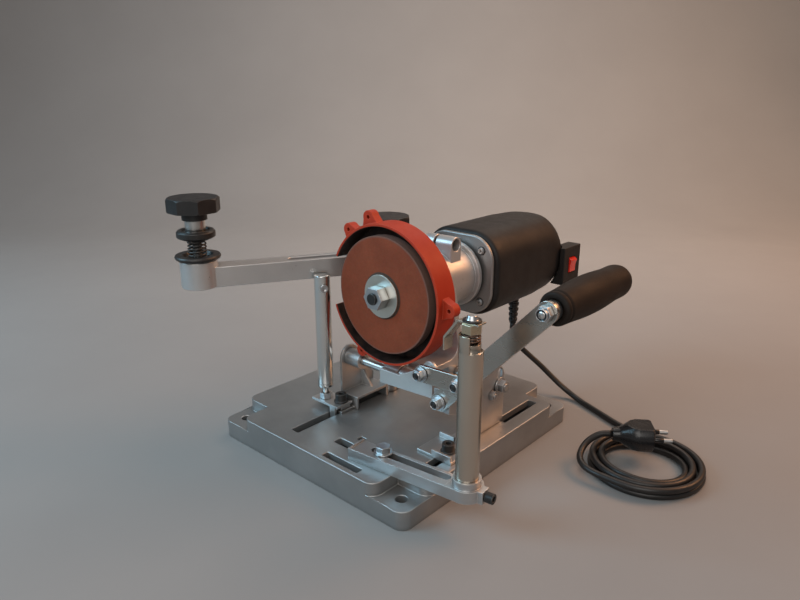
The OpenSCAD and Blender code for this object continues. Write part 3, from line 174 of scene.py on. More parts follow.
def material(name, dark, light, metallic, rough, tone_scale=28, grain_scale=900, grain=0.08, depth=0.0002,
             stretch=(1, 1, 1), edge_wear_and_highlight=None, corner_shade=None, pits=None, **sockets):
    """A surface whose tone, roughness and grain vary, with worn edges that also carry a painted highlight,
    painted shade in its corners and pits if asked.
    """
    made = bpy.data.materials.new(name)
    made.use_nodes = True
    tree = made.node_tree
    shader = tree.nodes["Principled BSDF"]
    shader.inputs["Metallic"].default_value = metallic
    for key, value in sockets.items():
        shader.inputs[key.replace("_", " ")].default_value = value
    vector = coords(tree, stretch)
    tone = noise(tree, vector, tone_scale)
    fine = noise(tree, vector, grain_scale, 3.0, 0.6)
    colour = ramp(tree, tone, (0.3, dark), (0.7, light))
    gloss = span(tree, noise(tree, vector, tone_scale * 3.1, 5.0, 0.65), rough[0], rough[1])
    normal = bump(tree, fine, grain, depth)
    if pits:
        holes = span(tree, cells(tree, vector, pits), 1, 0, 0.05, 0.11)
        patches = span(tree, noise(tree, vector, pits / 5, 2.0), 0, 0.8, 0.55, 0.62)
        chosen = tree.nodes.new("ShaderNodeMath")
        chosen.operation = "MULTIPLY"
        tree.links.new(holes, chosen.inputs[0])
        tree.links.new(patches, chosen.inputs[1])
        colour = mix(tree, chosen.outputs[0], colour, PIT_COLOUR)
    # Painted shade: darker in the corners, by ambient occlusion
    if corner_shade:
        colour = mix(tree, corner_shade_mask(tree, CORNER_REACH), colour, mix(tree, 1.0, colour, corner_shade, "MULTIPLY"))
    # Lighter along sharp edges: worn paint, and a painted highlight there
    if edge_wear_and_highlight:
        patchy = tree.nodes.new("ShaderNodeMath")
        patchy.operation = "MULTIPLY"
        tree.links.new(edge_mask(tree, EDGE_REACH), patchy.inputs[0])
        tree.links.new(span(tree, noise(tree, vector, 160, 3.0), 0.5, 1, 0.35, 0.6), patchy.inputs[1])
        colour = mix(tree, patchy.outputs[0], colour, edge_wear_and_highlight)
    tree.links.new(colour, shader.inputs["Base Color"])
    tree.links.new(gloss, shader.inputs["Roughness"])
    tree.links.new(normal, shader.inputs["Normal"])
    return made


# Worn edges with a painted highlight, and painted shade for corners, that several metals share
ALLOY_EDGE_WEAR_AND_HIGHLIGHT, ALLOY_CORNER_SHADE = (0.84, 0.84, 0.82), (0.42, 0.4, 0.37)
STEEL_CORNER_SHADE = (0.45, 0.4, 0.35)

CAST = material(
    "cast_paint", dark=(0.305, 0.31, 0.31), light=(0.375, 0.375, 0.375),
    metallic=0.75, rough=(0.36, 0.46), tone_scale=22, grain_scale=1500, grain=0.12,
    edge_wear_and_highlight=ALLOY_EDGE_WEAR_AND_HIGHLIGHT, corner_shade=ALLOY_CORNER_SHADE, pits=170)
# Painted light: the base's silver paint made paler for the block and motor support, for the light they catch
CAST_LIT = material(
    "lit_cast_paint", dark=(0.5, 0.5, 0.5), light=(0.59, 0.59, 0.585),
    metallic=0.7, rough=(0.36, 0.47), tone_scale=22, grain_scale=1500, grain=0.12,
    edge_wear_and_highlight=ALLOY_EDGE_WEAR_AND_HIGHLIGHT, corner_shade=ALLOY_CORNER_SHADE, pits=170)
# Painted light: a still paler copy of the same paint for the arm
ARM_CAST_LIT = material(
    "arm_lit_cast_paint", dark=(0.58, 0.58, 0.58), light=(0.68, 0.68, 0.675),
    metallic=0.8, rough=(0.28, 0.38), tone_scale=22, grain_scale=1500, grain=0.1,
    edge_wear_and_highlight=ALLOY_EDGE_WEAR_AND_HIGHLIGHT, corner_shade=ALLOY_CORNER_SHADE, pits=170)
ZINC = material(
    "zinc_plate", dark=(0.46, 0.485, 0.51), light=(0.57, 0.585, 0.6),
    metallic=1.0, rough=(0.28, 0.37), tone_scale=30, grain_scale=2500, grain=0.03,
    edge_wear_and_highlight=(0.8, 0.8, 0.79), corner_shade=(0.4, 0.36, 0.32))
SATIN = material(
    "satin_alloy", dark=(0.45, 0.46, 0.465), light=(0.54, 0.545, 0.55),
    metallic=0.9, rough=(0.38, 0.48), tone_scale=26, grain_scale=1800, grain=0.06,
    edge_wear_and_highlight=(0.82, 0.82, 0.8), corner_shade=(0.42, 0.39, 0.36))
BRIGHT = material(
    "bright_steel", dark=(0.64, 0.64, 0.63), light=(0.72, 0.715, 0.7),
    metallic=1.0, rough=(0.26, 0.33), tone_scale=26, grain_scale=2500, grain=0.025,
    corner_shade=STEEL_CORNER_SHADE)
POLISHED = material(
    "polished_steel", dark=(0.68, 0.7, 0.69), light=(0.76, 0.775, 0.76),
    metallic=1.0, rough=(0.15, 0.21), tone_scale=26, grain_scale=2500, grain=0.012,
    corner_shade=STEEL_CORNER_SHADE)
BRUSHED = material(
    "brushed_steel", dark=(0.41, 0.385, 0.35), light=(0.47, 0.445, 0.41),
    metallic=1.0, rough=(0.24, 0.31), tone_scale=12, grain_scale=2200, grain=0.025, stretch=(0.35, 1, 1.6),
    edge_wear_and_highlight=(0.82, 0.81, 0.79), corner_shade=STEEL_CORNER_SHADE)
WARM_STEEL = material(
    "turned_steel", dark=(0.55, 0.49, 0.415), light=(0.62, 0.555, 0.475),
    metallic=1.0, rough=(0.22, 0.27), tone_scale=12, grain_scale=2500, grain=0.008,
    corner_shade=(0.45, 0.38, 0.32))
BLACK_STEEL = material(
    "black_oxide", dark=(0.016, 0.0155, 0.0155), light=(0.04, 0.038, 0.037),
    metallic=0.35, rough=(0.32, 0.5), tone_scale=60, grain_scale=900, grain=0.1,
    edge_wear_and_highlight=(0.16, 0.155, 0.15))
WARM_ZINC = material(
    "warm_zinc", dark=(0.58, 0.57, 0.51), light=(0.68, 0.665, 0.6),
    metallic=1.0, rough=(0.32, 0.42), tone_scale=40, grain_scale=2500, grain=0.03,
    edge_wear_and_highlight=(0.78, 0.76, 0.7), corner_shade=(0.4, 0.34, 0.28))
YELLOW_ZINC = material(
    "yellow_zinc", dark=(0.5, 0.41, 0.285), light=(0.62, 0.52, 0.375),
    metallic=1.0, rough=(0.26, 0.34), tone_scale=50, grain_scale=2000, grain=0.03,
    edge_wear_and_highlight=(0.72, 0.66, 0.55))
PLASTIC = material(
    "black_plastic", dark=(0.011, 0.0095, 0.009), light=(0.018, 0.0155, 0.0145),
    metallic=0.0, rough=(0.48, 0.6), tone_scale=25, grain_scale=1500, grain=0.3, depth=0.00025,
    edge_wear_and_highlight=(0.035, 0.031, 0.028), Specular_IOR_Level=0.3)
GLOSS_PLASTIC = material(
    "gloss_plastic", dark=(0.008, 0.008, 0.009), light=(0.014, 0.014, 0.015),
    metallic=0.0, rough=(0.2, 0.32), tone_scale=30, grain_scale=900, grain=0.08)
KNOB_PLASTIC = material(
    "knob_plastic", dark=(0.009, 0.0085, 0.0088), light=(0.016, 0.0148, 0.015),
    metallic=0.0, rough=(0.42, 0.56), tone_scale=40, grain_scale=1300, grain=0.3,
    edge_wear_and_highlight=(0.05, 0.048, 0.046))
ROCKER_RED = material(
    "rocker_red", dark=(0.62, 0.022, 0.012), light=(0.74, 0.035, 0.018),
    metallic=0.0, rough=(0.18, 0.28), tone_scale=60, grain_scale=900, grain=0.05,
    Coat_Weight=0.4)
GRIP_RUBBER = material(
    "grip_rubber", dark=(0.01, 0.0066, 0.005), light=(0.022, 0.0145, 0.0105),
    metallic=0.0, rough=(0.56, 0.72), tone_scale=30, grain_scale=1000, grain=0.4, depth=0.0004,
    stretch=(1, 0.25, 1),
    edge_wear_and_highlight=(0.04, 0.03, 0.024), Specular_IOR_Level=0.22)
CORD_RUBBER = material(
    "cord_rubber", dark=(0.009, 0.0085, 0.0085), light=(0.017, 0.0155, 0.015),
    metallic=0.0, rough=(0.34, 0.48), tone_scale=40, grain_scale=1200, grain=0.12)
SPRING_STEEL = material(
    "brown_spring_steel", dark=(0.13, 0.085, 0.065), light=(0.22, 0.145, 0.11),
    metallic=0.8, rough=(0.32, 0.45), tone_scale=90, grain_scale=1500, grain=0.06,
    corner_shade=(0.5, 0.4, 0.35))
BLOTTER = material(
    "blotter_paper", dark=(0.045, 0.028, 0.02), light=(0.075, 0.045, 0.032),
    metallic=0.0, rough=(0.85, 0.95), tone_scale=90, grain_scale=2200, grain=0.3)
IRON = material(
    "iron_core", dark=(0.1, 0.1, 0.11), light=(0.18, 0.18, 0.19),
    metallic=1.0, rough=(0.4, 0.6), tone_scale=60, grain_scale=700, grain=0.1)
COPPER = material(
    "copper_winding", dark=(0.5, 0.22, 0.1), light=(0.66, 0.32, 0.16),
    metallic=1.0, rough=(0.3, 0.5), tone_scale=80, grain_scale=900, grain=0.1)
NYLON = material(
    "nylon_insert", dark=(0.01, 0.01, 0.012), light=(0.02, 0.02, 0.023),
    metallic=0.0, rough=(0.3, 0.4), tone_scale=60, grain_scale=900, grain=0.06)


# Guard, red outside and near black on its inner wall and inner face, and the wheel with its worn rim
SPINDLE_X, SPINDLE_Z = 28, 183
SPINDLE = (SPINDLE_X * MM, SPINDLE_Z * MM)
# Where one look gives way to the next: the guard's inner wall, its inner face and the wheel's rim
INNER_WALL, INNER_FACE, RIM_BAND = (0.0722, 0.0728), (-0.0328, -0.0322), (0.0600, 0.0628)


def spindle_radius(tree):
    """Distance from the spindle's axis."""
    shift = add(tree, "ShaderNodeVectorMath")
    shift.operation = "SUBTRACT"
    shift.inputs[1].default_value = (SPINDLE[0], 0, SPINDLE[1])
    tree.links.new(tree.nodes.new("ShaderNodeTexCoord").outputs["Object"], shift.inputs[0])
    flat = add(tree, "ShaderNodeVectorMath")
    flat.operation = "MULTIPLY"
    flat.inputs[1].default_value = (1, 0, 1)
    tree.links.new(shift.outputs[0], flat.inputs[0])
    long = add(tree, "ShaderNodeVectorMath")
    long.operation = "LENGTH"
    tree.links.new(flat.outputs[0], long.inputs[0])
    return long.outputs["Value"]


def guard_material():
    made = material(
        "red_guard", dark=(0.37, 0.03, 0.011), light=(0.45, 0.042, 0.016),
        metallic=0.0, rough=(0.46, 0.56), tone_scale=30, grain_scale=1500, grain=0.12,
        edge_wear_and_highlight=(0.6, 0.12, 0.065), corner_shade=(0.55, 0.5, 0.48), Specular_IOR_Level=0.22)
    tree = made.node_tree
    shader = tree.nodes["Principled BSDF"]
    colour = shader.inputs["Base Color"].links[0].from_socket
    apart = add(tree, "ShaderNodeSeparateXYZ")
    tree.links.new(tree.nodes.new("ShaderNodeTexCoord").outputs["Object"], apart.inputs[0])
    within = tree.nodes.new("ShaderNodeMath")
    within.operation = "MULTIPLY"
    tree.links.new(span(tree, spindle_radius(tree), 1, 0, *INNER_WALL), within.inputs[0])
    tree.links.new(span(tree, apart.outputs["Y"], 1, 0, *INNER_FACE), within.inputs[1])
    # Near black in patches on the inner wall and inner face
    patches = noise(tree, coords(tree), 120)
    inner_tone = ramp(tree, patches, (0.35, (0.016, 0.012, 0.011)), (0.7, (0.05, 0.03, 0.024)))
    tree.links.new(mix(tree, within.outputs[0], colour, inner_tone), shader.inputs["Base Color"])
    return made


def wheel_material():
    made = bpy.data.materials.new("abrasive")
    made.use_nodes = True
    tree = made.node_tree
    shader = tree.nodes["Principled BSDF"]
    vector = coords(tree)
    grit = cells(tree, vector, 1500, "Color")
    tone = ramp(tree, noise(tree, vector, 45), (0.3, (0.185, 0.037, 0.012)), (0.7, (0.24, 0.051, 0.0175)))
    speck = mix(tree, 0.14, tone, grit, "SOFT_LIGHT")
    rim = span(tree, spindle_radius(tree), 0, 0.75, *RIM_BAND)
    colour = mix(tree, rim, speck, (0.13, 0.105, 0.09))
    tree.links.new(colour, shader.inputs["Base Color"])
    tree.links.new(span(tree, noise(tree, vector, 300), 0.78, 0.95), shader.inputs["Roughness"])
    rough = bump(tree, cells(tree, vector, 1500), 0.5, 0.0003)
    tree.links.new(bump(tree, noise(tree, vector, 3200, 2.0), 0.3, 0.0002, rough), shader.inputs["Normal"])
    return made


GUARD_RED = guard_material()
ABRASIVE = wheel_material()


# CAD nodes: their finish, and soft edges where the real piece has them
# Each finish: its slot, the edges' rounding in millimetres, and the nodes that have it
FINISH = {
    CAST: ("cast_alloy", 0.9, "base_plate"),
    CAST_LIT: ("cast_alloy", 0.9, "carriage_block motor_support"),
    ARM_CAST_LIT: ("cast_alloy", 0.9, "blade_arm"),
    SATIN: ("zinc_steel", 0.45, "left_bracket right_bracket rod_bushes post_foot slotted_bar"),
    ZINC: ("zinc_steel", 0.45, "slot_nuts stop_bolt tilt_nut pivot_a"
           " pivot_b pivot_c grip_bolt arm_washer post_nut bar_bolt pawl_bolt wheel_nut"),
    WARM_ZINC: ("zinc_steel", 0.5, "wheel_flanges"),
    BRIGHT: ("bright_steel", 0.4, "guide_rod rear_rod arm_column clamp_sleeve plug_pins"),
    BRUSHED: ("bright_steel", 0.5, "lever lever_link"),
    WARM_STEEL: ("bright_steel", 0.4, "pawl"),
    BLACK_STEEL: ("black_steel", 0.4, "bracket_screws clamp_screw post_screw spindle centring_cone"
                  " clamp_disc"),
    YELLOW_ZINC: ("yellow_zinc", 0.6, "pawl_nut"),
    PLASTIC: ("black_plastic", 0.8, "switch_box"),
    GLOSS_PLASTIC: ("black_plastic", 0.6, "plug_body strain_relief"),
    KNOB_PLASTIC: ("black_plastic", 0.6, "arm_knob clamp_knob"),
    GUARD_RED: ("red_plastic", 0.6, "wheel_guard"),
    ROCKER_RED: ("rocker_red", 0.5, "rocker"),
    ABRASIVE: ("abrasive", 0.7, "grinding_wheel"),
    IRON: ("iron_core", 0, "stator"),
    COPPER: ("iron_core", 0, "rotor"),
}

# Thin pieces, and pieces chamfered in the CAD, take a finer rounding
FINE_EDGES = {"slotted_bar": 0.2, "pawl": 0.12, "clamp_knob": 0.3, "arm_knob": 0.3}
FLANGE_EDGE = 1.6


def paint(obj, finish):
    obj.data.materials.clear()
    obj.data.materials.append(finish)


def soften(obj, width):
    """Weld the facets, merge flats, round the sharp edges and shade flats flat."""
    weld = obj.modifiers.new("weld", "WELD")
    weld.merge_threshold = 2e-6
    flats = obj.modifiers.new("flats", "DECIMATE")
    flats.decimate_type = "DISSOLVE"
    flats.angle_limit = math.radians(0.4)
    edge = obj.modifiers.new("edge", "BEVEL")
    edge.width = width
    edge.segments = 2
    edge.limit_method = "ANGLE"
    edge.angle_limit = math.radians(34)
    edge.use_clamp_overlap = False
    edge.miter_outer = "MITER_ARC"
    normals = obj.modifiers.new("normals", "WEIGHTED_NORMAL")
    normals.mode = "FACE_AREA_WITH_ANGLE"
    normals.keep_sharp = False


for finish, (slot_name, edge_mm, names) in FINISH.items():
    for name in names.split():
        paint(nodes[name], finish)
        if edge_mm:
            soften(nodes[name], FINE_EDGES.get(name, edge_mm) * MM)
for name, finish, slot_name in (("bearings", BRIGHT, "bearing_steel"), ("motor_flange", CAST, "cast_alloy")):
    paint(nodes[name], finish)
soften(nodes["motor_flange"], FLANGE_EDGE * MM)


# Mesh helpers
def piece(name, verts, faces, finish, body, slot_name, smooth=True):
    """A mesh object with outward normals that rides on a body, if one is named; slot_name is not used."""
    mesh = bpy.data.meshes.new(name)
    mesh.from_pydata([tuple(v) for v in verts], [], faces)
    mesh.validate()
    made = bpy.data.objects.new(name, mesh)
    bpy.context.scene.collection.objects.link(made)
    work = bmesh.new()
    work.from_mesh(mesh)
    bmesh.ops.recalc_face_normals(work, faces=work.faces)
    work.to_mesh(mesh)
    work.free()
    for face in mesh.polygons:
        face.use_smooth = smooth
    paint(made, finish)
    if body:
        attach(made, body)
    return made


def even_normals(obj):
    """Shade by the large faces, so that short chamfers don't bend the light on long walls."""
    normals = obj.modifiers.new("normals", "WEIGHTED_NORMAL")
    normals.keep_sharp = False


def lathe(profile, origin, axis, sides=48):
    """Verts and faces of a turned shape: (radius, place along the axis) pairs, closed at radius 0."""
    axis = Vector(axis).normalized()
    side = axis.orthogonal().normalized()
    up = axis.cross(side)
    verts, rings, faces = [], [], []
    for r, t in profile:
        if r < 1e-9:
            rings.append([len(verts)] * sides)
            verts.append(Vector(origin) + axis * t)
        else:
            rings.append(list(range(len(verts), len(verts) + sides)))
            for k in range(sides):
                way = side * math.cos(TAU * k / sides) + up * math.sin(TAU * k / sides)
                verts.append(Vector(origin) + axis * t + way * r)
    for a, b in zip(rings, rings[1:]):
        for k in range(sides):
            loop = [a[k], a[(k + 1) % sides], b[(k + 1) % sides], b[k]]
            face = list(dict.fromkeys(loop))
            if len(face) > 2:
                faces.append(face)
    return verts, faces


def merged(*shapes):
    verts, faces = [], []
    for v, f in shapes:
        faces += [[i + len(verts) for i in face] for face in f]
        verts += v
    return verts, faces


def smooth_path(points, step):
    """Points about step apart on a smooth curve through the given ones."""
    p = [Vector(q) for q in points]
    p = [2 * p[0] - p[1], *p, 2 * p[-1] - p[-2]]
    out = []
    for a, b, c, d in zip(p, p[1:], p[2:], p[3:]):
        t0, t1 = 0.0, max((b - a).length, 1e-9) ** 0.5
        t2 = t1 + max((c - b).length, 1e-9) ** 0.5
        t3 = t2 + max((d - c).length, 1e-9) ** 0.5
        count = max(1, round((c - b).length / step))
        for i in range(count):
            t = t1 + (t2 - t1) * i / count
            ab = (t1 - t) / (t1 - t0) * a + (t - t0) / (t1 - t0) * b
            bc = (t2 - t) / (t2 - t1) * b + (t - t1) / (t2 - t1) * c
            cd = (t3 - t) / (t3 - t2) * c + (t - t2) / (t3 - t2) * d
            abc = (t2 - t) / (t2 - t0) * ab + (t - t0) / (t2 - t0) * bc
            bcd = (t3 - t) / (t3 - t1) * bc + (t - t1) / (t3 - t1) * cd
            out.append((t2 - t) / (t2 - t1) * abc + (t - t1) / (t2 - t1) * bcd)
    out.append(p[-2])
    return out


def tube(path, radius, sides):
    """Verts and faces of a round tube along a path, with flat ends."""
    verts, faces = [], []
    across = None
    for i, here in enumerate(path):
        way = (path[min(i + 1, len(path) - 1)] - path[max(i - 1, 0)]).normalized()
        across = way.orthogonal() if across is None else across - across.dot(way) * way
        across = across.normalized()
        up = way.cross(across)
        verts += [here + radius * (across * math.cos(TAU * k / sides) + up * math.sin(TAU * k / sides))
                  for k in range(sides)]
    for i in range(len(path) - 1):
        for k in range(sides):
            a, b = i * sides + k, i * sides + (k + 1) % sides
            faces.append([a, b, b + sides, a + sides])
    last = (len(path) - 1) * sides
    faces += [list(range(sides)), [last + k for k in range(sides)]]
    return verts, faces


# Mains cord: one smooth lead from the strain relief, through the coil, to the plug
CORD_D = 0.007
COIL = (256, 104)
COIL_Z, COIL_LAYER, COIL_PITCH, COIL_INNER, COIL_TURNS, CLIMB = 3.6, 7.8, 9, 42, 2, 0.5
COIL_OUTER = COIL_INNER + COIL_PITCH * COIL_TURNS
CORD_ROUTE = [(45, 168, 98), (45, 168, 88), (47, 171, 76), (53, 178, 63), (63, 186, 51), (75, 193, 39),
              (88, 199, 26), (101, 203, 15), (115, 204, 7.5), (130, 200, 4), (147, 193, 3.6),
              (168, 184, 3.6), (192, 174, 3.6), (216, 167, 3.6), (234, 164, 3.6), (249, 164, 3.6)]
LEAD_ROUTE = [(249, 44, 11.4), (240, 44, 11.5), (229, 44.5, 11.7), (216, 48, 12.4), (206, 57, 14),
              (201.5, 69, 17), (201.5, 80, 21.5), (205.5, 89.5, 26), (209.5, 94.4, 28.3),
              (213.3, 97.9, 29), (219, 102, 29)]


def coil_point(u):
    """Place on the coil after u turns: in along the lower layer, up, and out along the upper one."""
    if u < COIL_TURNS:
        r = COIL_OUTER - COIL_PITCH * u
    else:
        r = COIL_INNER + COIL_PITCH * max(0, u - COIL_TURNS - CLIMB)
    a = math.pi / 2 - TAU * u
    z = COIL_Z + COIL_LAYER * min(1, max(0, (u - COIL_TURNS) / CLIMB))
    return COIL[0] + r * math.cos(a), COIL[1] + r * math.sin(a), z


TURN_STEPS = 24
coil_steps = round((2 * COIL_TURNS + CLIMB) * TURN_STEPS)
coil = [coil_point(i / TURN_STEPS) for i in range(coil_steps + 1)]
cord_path = smooth_path([Vector(p) * MM for p in CORD_ROUTE + coil + LEAD_ROUTE], 0.003)
cord = piece("mains_cord", *tube(cord_path, CORD_D / 2, 16), CORD_RUBBER, None, "cord_rubber")
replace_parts(cord, "power_cord", "cord_coil", "plug_lead")
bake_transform(cord)

PLUG_BACK = Vector((0.219, 0.102, 0.029))
PLUG_TURN = math.atan2(4.1, 5.7)
PLUG_AXIS = Vector((math.cos(PLUG_TURN), math.sin(PLUG_TURN), 0))
PLUG_SIDE = Vector((-math.sin(PLUG_TURN), math.cos(PLUG_TURN), 0))
PLUG_LENGTH, PIN_OFFSET = 0.042, 0.0095
SLEEVE = [(2.42 * MM, 0), (2.6 * MM, 0.0004), (2.6 * MM, 0.0096), (2.42 * MM, 0.010)]
sleeves = merged(*[lathe(SLEEVE, PLUG_BACK + PLUG_AXIS * PLUG_LENGTH + PLUG_SIDE * s * PIN_OFFSET,
                         PLUG_AXIS, 24) for s in (-1, 1)])
pin_sleeves = piece("pin_sleeves", *sleeves, GLOSS_PLASTIC, "carriage", "black_plastic")


# Springs: round wire wound as the CAD's helix is
def spring(name, at, radius, z, height, turns, wire, body, node_name, finish):
    """A coil of round wire with straight ends, which replaces a node."""
    line = [Vector((radius, -wire, z))]
    for i in range(TURN_STEPS * turns + 1):
        a = TAU * i / TURN_STEPS
        rise = height * i / (TURN_STEPS * turns)
        line.append(Vector((radius * math.cos(a), radius * math.sin(a), z + rise)))
    line.append(Vector((radius, wire, z + height)))
    path = smooth_path([(p + Vector((at[0], at[1], 0))) * MM for p in line], 0.0009)
    made = piece(name, *tube(path, wire / 2 * MM, 10), finish, body, "black_steel")
    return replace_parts(made, node_name)


BOSS = (-136.81, -165.67)
POST = (174.48, -102.07)
clamp_coil = spring("clamp_coil", BOSS, 9, 217, 17.3, 5, 1.8, "arm", "clamp_spring", BLACK_STEEL)
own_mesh(clamp_coil)
spring("pawl_coil", POST, 7.6, 183.8, 7.7, 3, 1.4, "right_post", "pawl_spring", SPRING_STEEL)


# Threaded stud of the blade clamp
ROWS_PER_PITCH = 6
THREAD_DEPTH = 0.13


def threaded(at, low, high, radius, pitch, sides=28):
    """Verts and faces of a screw with a real helical thread."""
    rows = round((high - low) / pitch * ROWS_PER_PITCH)
    verts, faces = [], []
    for i in range(rows + 1):
        z = low + (high - low) * i / rows
        for k in range(sides):
            wave = abs(((z / pitch - k / sides) % 1) * 2 - 1)
            r = radius * (1 - THREAD_DEPTH * (1 - wave))
            a = TAU * k / sides
            verts.append(Vector((at[0] + r * math.cos(a), at[1] + r * math.sin(a), z)) * MM)
    for i in range(rows):
        for k in range(sides):
            a, b = i * sides + k, i * sides + (k + 1) % sides
            faces.append([a, b, b + sides, a + sides])
    faces += [list(range(sides)), [rows * sides + k for k in range(sides)]]
    return verts, faces


stud = piece("clamp_thread", *threaded(BOSS, 190, 271, 5, 1.5), BLACK_STEEL, "arm", "black_steel")
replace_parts(stud, "clamp_stud")


# Grip: a swelling rubber handle with a collar at the lever's end
def eased(points):
    """A smooth profile of (radius, place) pairs through (place, radius) points given in millimetres."""
    line = smooth_path([Vector((r, t, 0)) for t, r in points], 1.2)
    return [(p[0] * MM, p[1] * MM) for p in line]


GRIP_AT = (0.2212, -0.0502, 0.2101)
outline = eased([(0.6, 14.6), (2.4, 15.4), (4.6, 15.3), (5.4, 14.2), (6.6, 14.2), (7.6, 15.4), (12, 15.8),
                 (20, 16.3), (35, 17.4), (50, 18), (68, 18), (84, 17.2), (98, 16.4), (108, 16.4), (116, 16.2),
                 (121.5, 14.8), (125.6, 11.8), (127.6, 7.2)])
grip_profile = [(0, 0.108), (4.1 * MM, 0.108), (4.1 * MM, 0.0012), (9.5 * MM, 0.0012), (10.2 * MM, 0),
                (13.6 * MM, 0), *outline, (0, 0.128)]
handle = piece("handle", *lathe(grip_profile, GRIP_AT, (0, 1, 0), 64), GRIP_RUBBER, "grip", "grip_rubber")
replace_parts(handle, "grip")


# Screw heads with cross recesses, on the motor's flange and inside the guard
HEAD_SIDES = 32


def cross_head(centre, r, h, cross_r, cross_w):
    """A domed head facing -Y with a cross sunk in it."""
    cx, cy, cz = centre
    turns = [TAU * k / HEAD_SIDES for k in range(HEAD_SIDES)]
    rim = [(r * math.cos(a), r * math.sin(a)) for a in turns]
    w, c = cross_w / 2, cross_r
    cross = [(c, w), (w, w), (w, c), (-w, c), (-w, w), (-c, w),
             (-c, -w), (-w, -w), (-w, -c), (w, -c), (w, -w), (c, -w)]
    work = bmesh.new()

    def ring(points, y, shrink=1.0):
        return [work.verts.new(((cx + x * shrink) * MM, (cy + y) * MM, (cz + z * shrink) * MM))
                for x, z in points]

    def wall(a, b):
        for k in range(len(a)):
            work.faces.new([a[k], a[(k + 1) % len(a)], b[(k + 1) % len(b)], b[k]])

    base, shoulder, top = ring(rim, 0), ring(rim, -0.45 * h), ring(rim, -h, 0.72)
    mouth, floor = ring(cross, -h), ring(cross, -0.35 * h, 0.75)
    wall(base, shoulder)
    wall(shoulder, top)
    wall(mouth, floor)
    work.faces.new(floor)
    work.faces.new(base)
    edges = [work.edges.get([a[k], a[(k + 1) % len(a)]]) for a in (top, mouth) for k in range(len(a))]
    bmesh.ops.triangle_fill(work, edges=edges, use_beauty=True)
    work.verts.index_update()
    verts = [v.co.copy() for v in work.verts]
    faces = [[v.index for v in f.verts] for f in work.faces]
    work.free()
    return verts, faces


# Heads: radius, height, the cross's reach and width
FLANGE_HEAD, GUARD_HEAD = (4, 3, 2.2, 0.9), (3.5, 2.5, 1.9, 0.8)
FLANGE_Y, GUARD_Y, GUARD_SCREW_R = 70, -34, 29
FLANGE_SCREWS = [(SPINDLE_X + x, SPINDLE_Z + z) for x in (-33, 33) for z in (-30, 30)]
GUARD_SCREWS = [(SPINDLE_X + GUARD_SCREW_R * math.cos(a), SPINDLE_Z + GUARD_SCREW_R * math.sin(a))
                for a in (math.radians(90), math.radians(210), math.radians(330))]
heads = [cross_head((x, FLANGE_Y, z), *FLANGE_HEAD) for x, z in FLANGE_SCREWS]
heads += [cross_head((x, GUARD_Y, z), *GUARD_HEAD) for x, z in GUARD_SCREWS]
screw_heads = piece("screw_heads", *merged(*heads), ZINC, "head", "zinc_steel", smooth=False)
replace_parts(screw_heads, "motor_screws")
# Painted shade: a dark ring round each flange screw's head stands for the shade in its recess
SHADE_RING = [(3.6 * MM, -0.0002), (3.6 * MM, 0.0004), (4.9 * MM, 0.0004), (5.1 * MM, -0.0002)]
shade_rings = [lathe(SHADE_RING, (x * MM, FLANGE_Y * MM, z * MM), (0, -1, 0), 32) for x, z in FLANGE_SCREWS]
piece("screw_shade_rings", *merged(*shade_rings), BLACK_STEEL, "head", "black_steel")


# Lock nuts: a rolled collar, a nylon ring and the bolt's rounded end
def lock_end(name, at, body, r, nylon_r, bolt_r, end):
    """What shows on a lock nut's face, which looks to -Y."""
    x, y, z = (v * MM for v in at)
    collar = lathe([(nylon_r * MM, 0.0004), (nylon_r * MM, 0.0015), (r * 0.93 * MM, 0.0015), (r * MM, 0.0008),
                    (r * MM, -0.001)], (x, y, z), (0, -1, 0), 32)
    piece(name + "_collar", *collar, ZINC, body, "zinc_steel")
    ring = lathe([(bolt_r * MM, 0.0002), (bolt_r * MM, 0.0011), (nylon_r * MM, 0.0012),
                  (nylon_r * MM, -0.0005)], (x, y, z), (0, -1, 0), 32)
    piece(name + "_insert", *ring, NYLON, body, "black_plastic")
    tip = lathe([(bolt_r * MM, -0.001), (bolt_r * MM, 0.0008), ((bolt_r - 0.6) * MM, 0.0014), (0, 0.0014)],
                (x, y, z), (0, -1, 0), 24)
    piece(name + "_tip", *tip, end, body, "black_steel")


# Radii of the collar, the nylon ring and the bolt
PIVOT_LOCK, GRIP_LOCK = (4.7, 4.0, 2.6), (5.6, 4.9, 3.5)
lock_end("lock_a", (88, -72.3, 116), "carriage", *PIVOT_LOCK, BLACK_STEEL)
lock_end("lock_b", (134.4, -72.3, 118.0), "lever", *PIVOT_LOCK, BLACK_STEEL)
lock_end("lock_c", (108, -68.3, 90), "base", *PIVOT_LOCK, BLACK_STEEL)
lock_end("lock_grip", (221.2, -69.0, 210.1), "lever", *GRIP_LOCK, BRIGHT)


# Motor housing: a moulded shell with a rounded front rim and cooling slots in its rear face
HOUSING_Y, HOUSING_L, HOUSING_W, HOUSING_H, HOUSING_CORNER = 75, 170, 106, 100, 36
DOME, RIM, SHELL = 52, 5.5, 2.6
SHELL_SIDES = 96
RIM_STEPS, DOME_STEPS = 6, 30
# A limit too far out to matter, and how sharply the outline turns into the dome
NO_LIMIT, BLEND_POWER = 99.0, 16
# Cooling slots: the limits between which they lie, and the strips left open in every group of strips
SLOTS_FROM, SLOTS_TO = 16, 37
SLOT_GROUP, SLOT_STRIPS = 6, (1, 2)


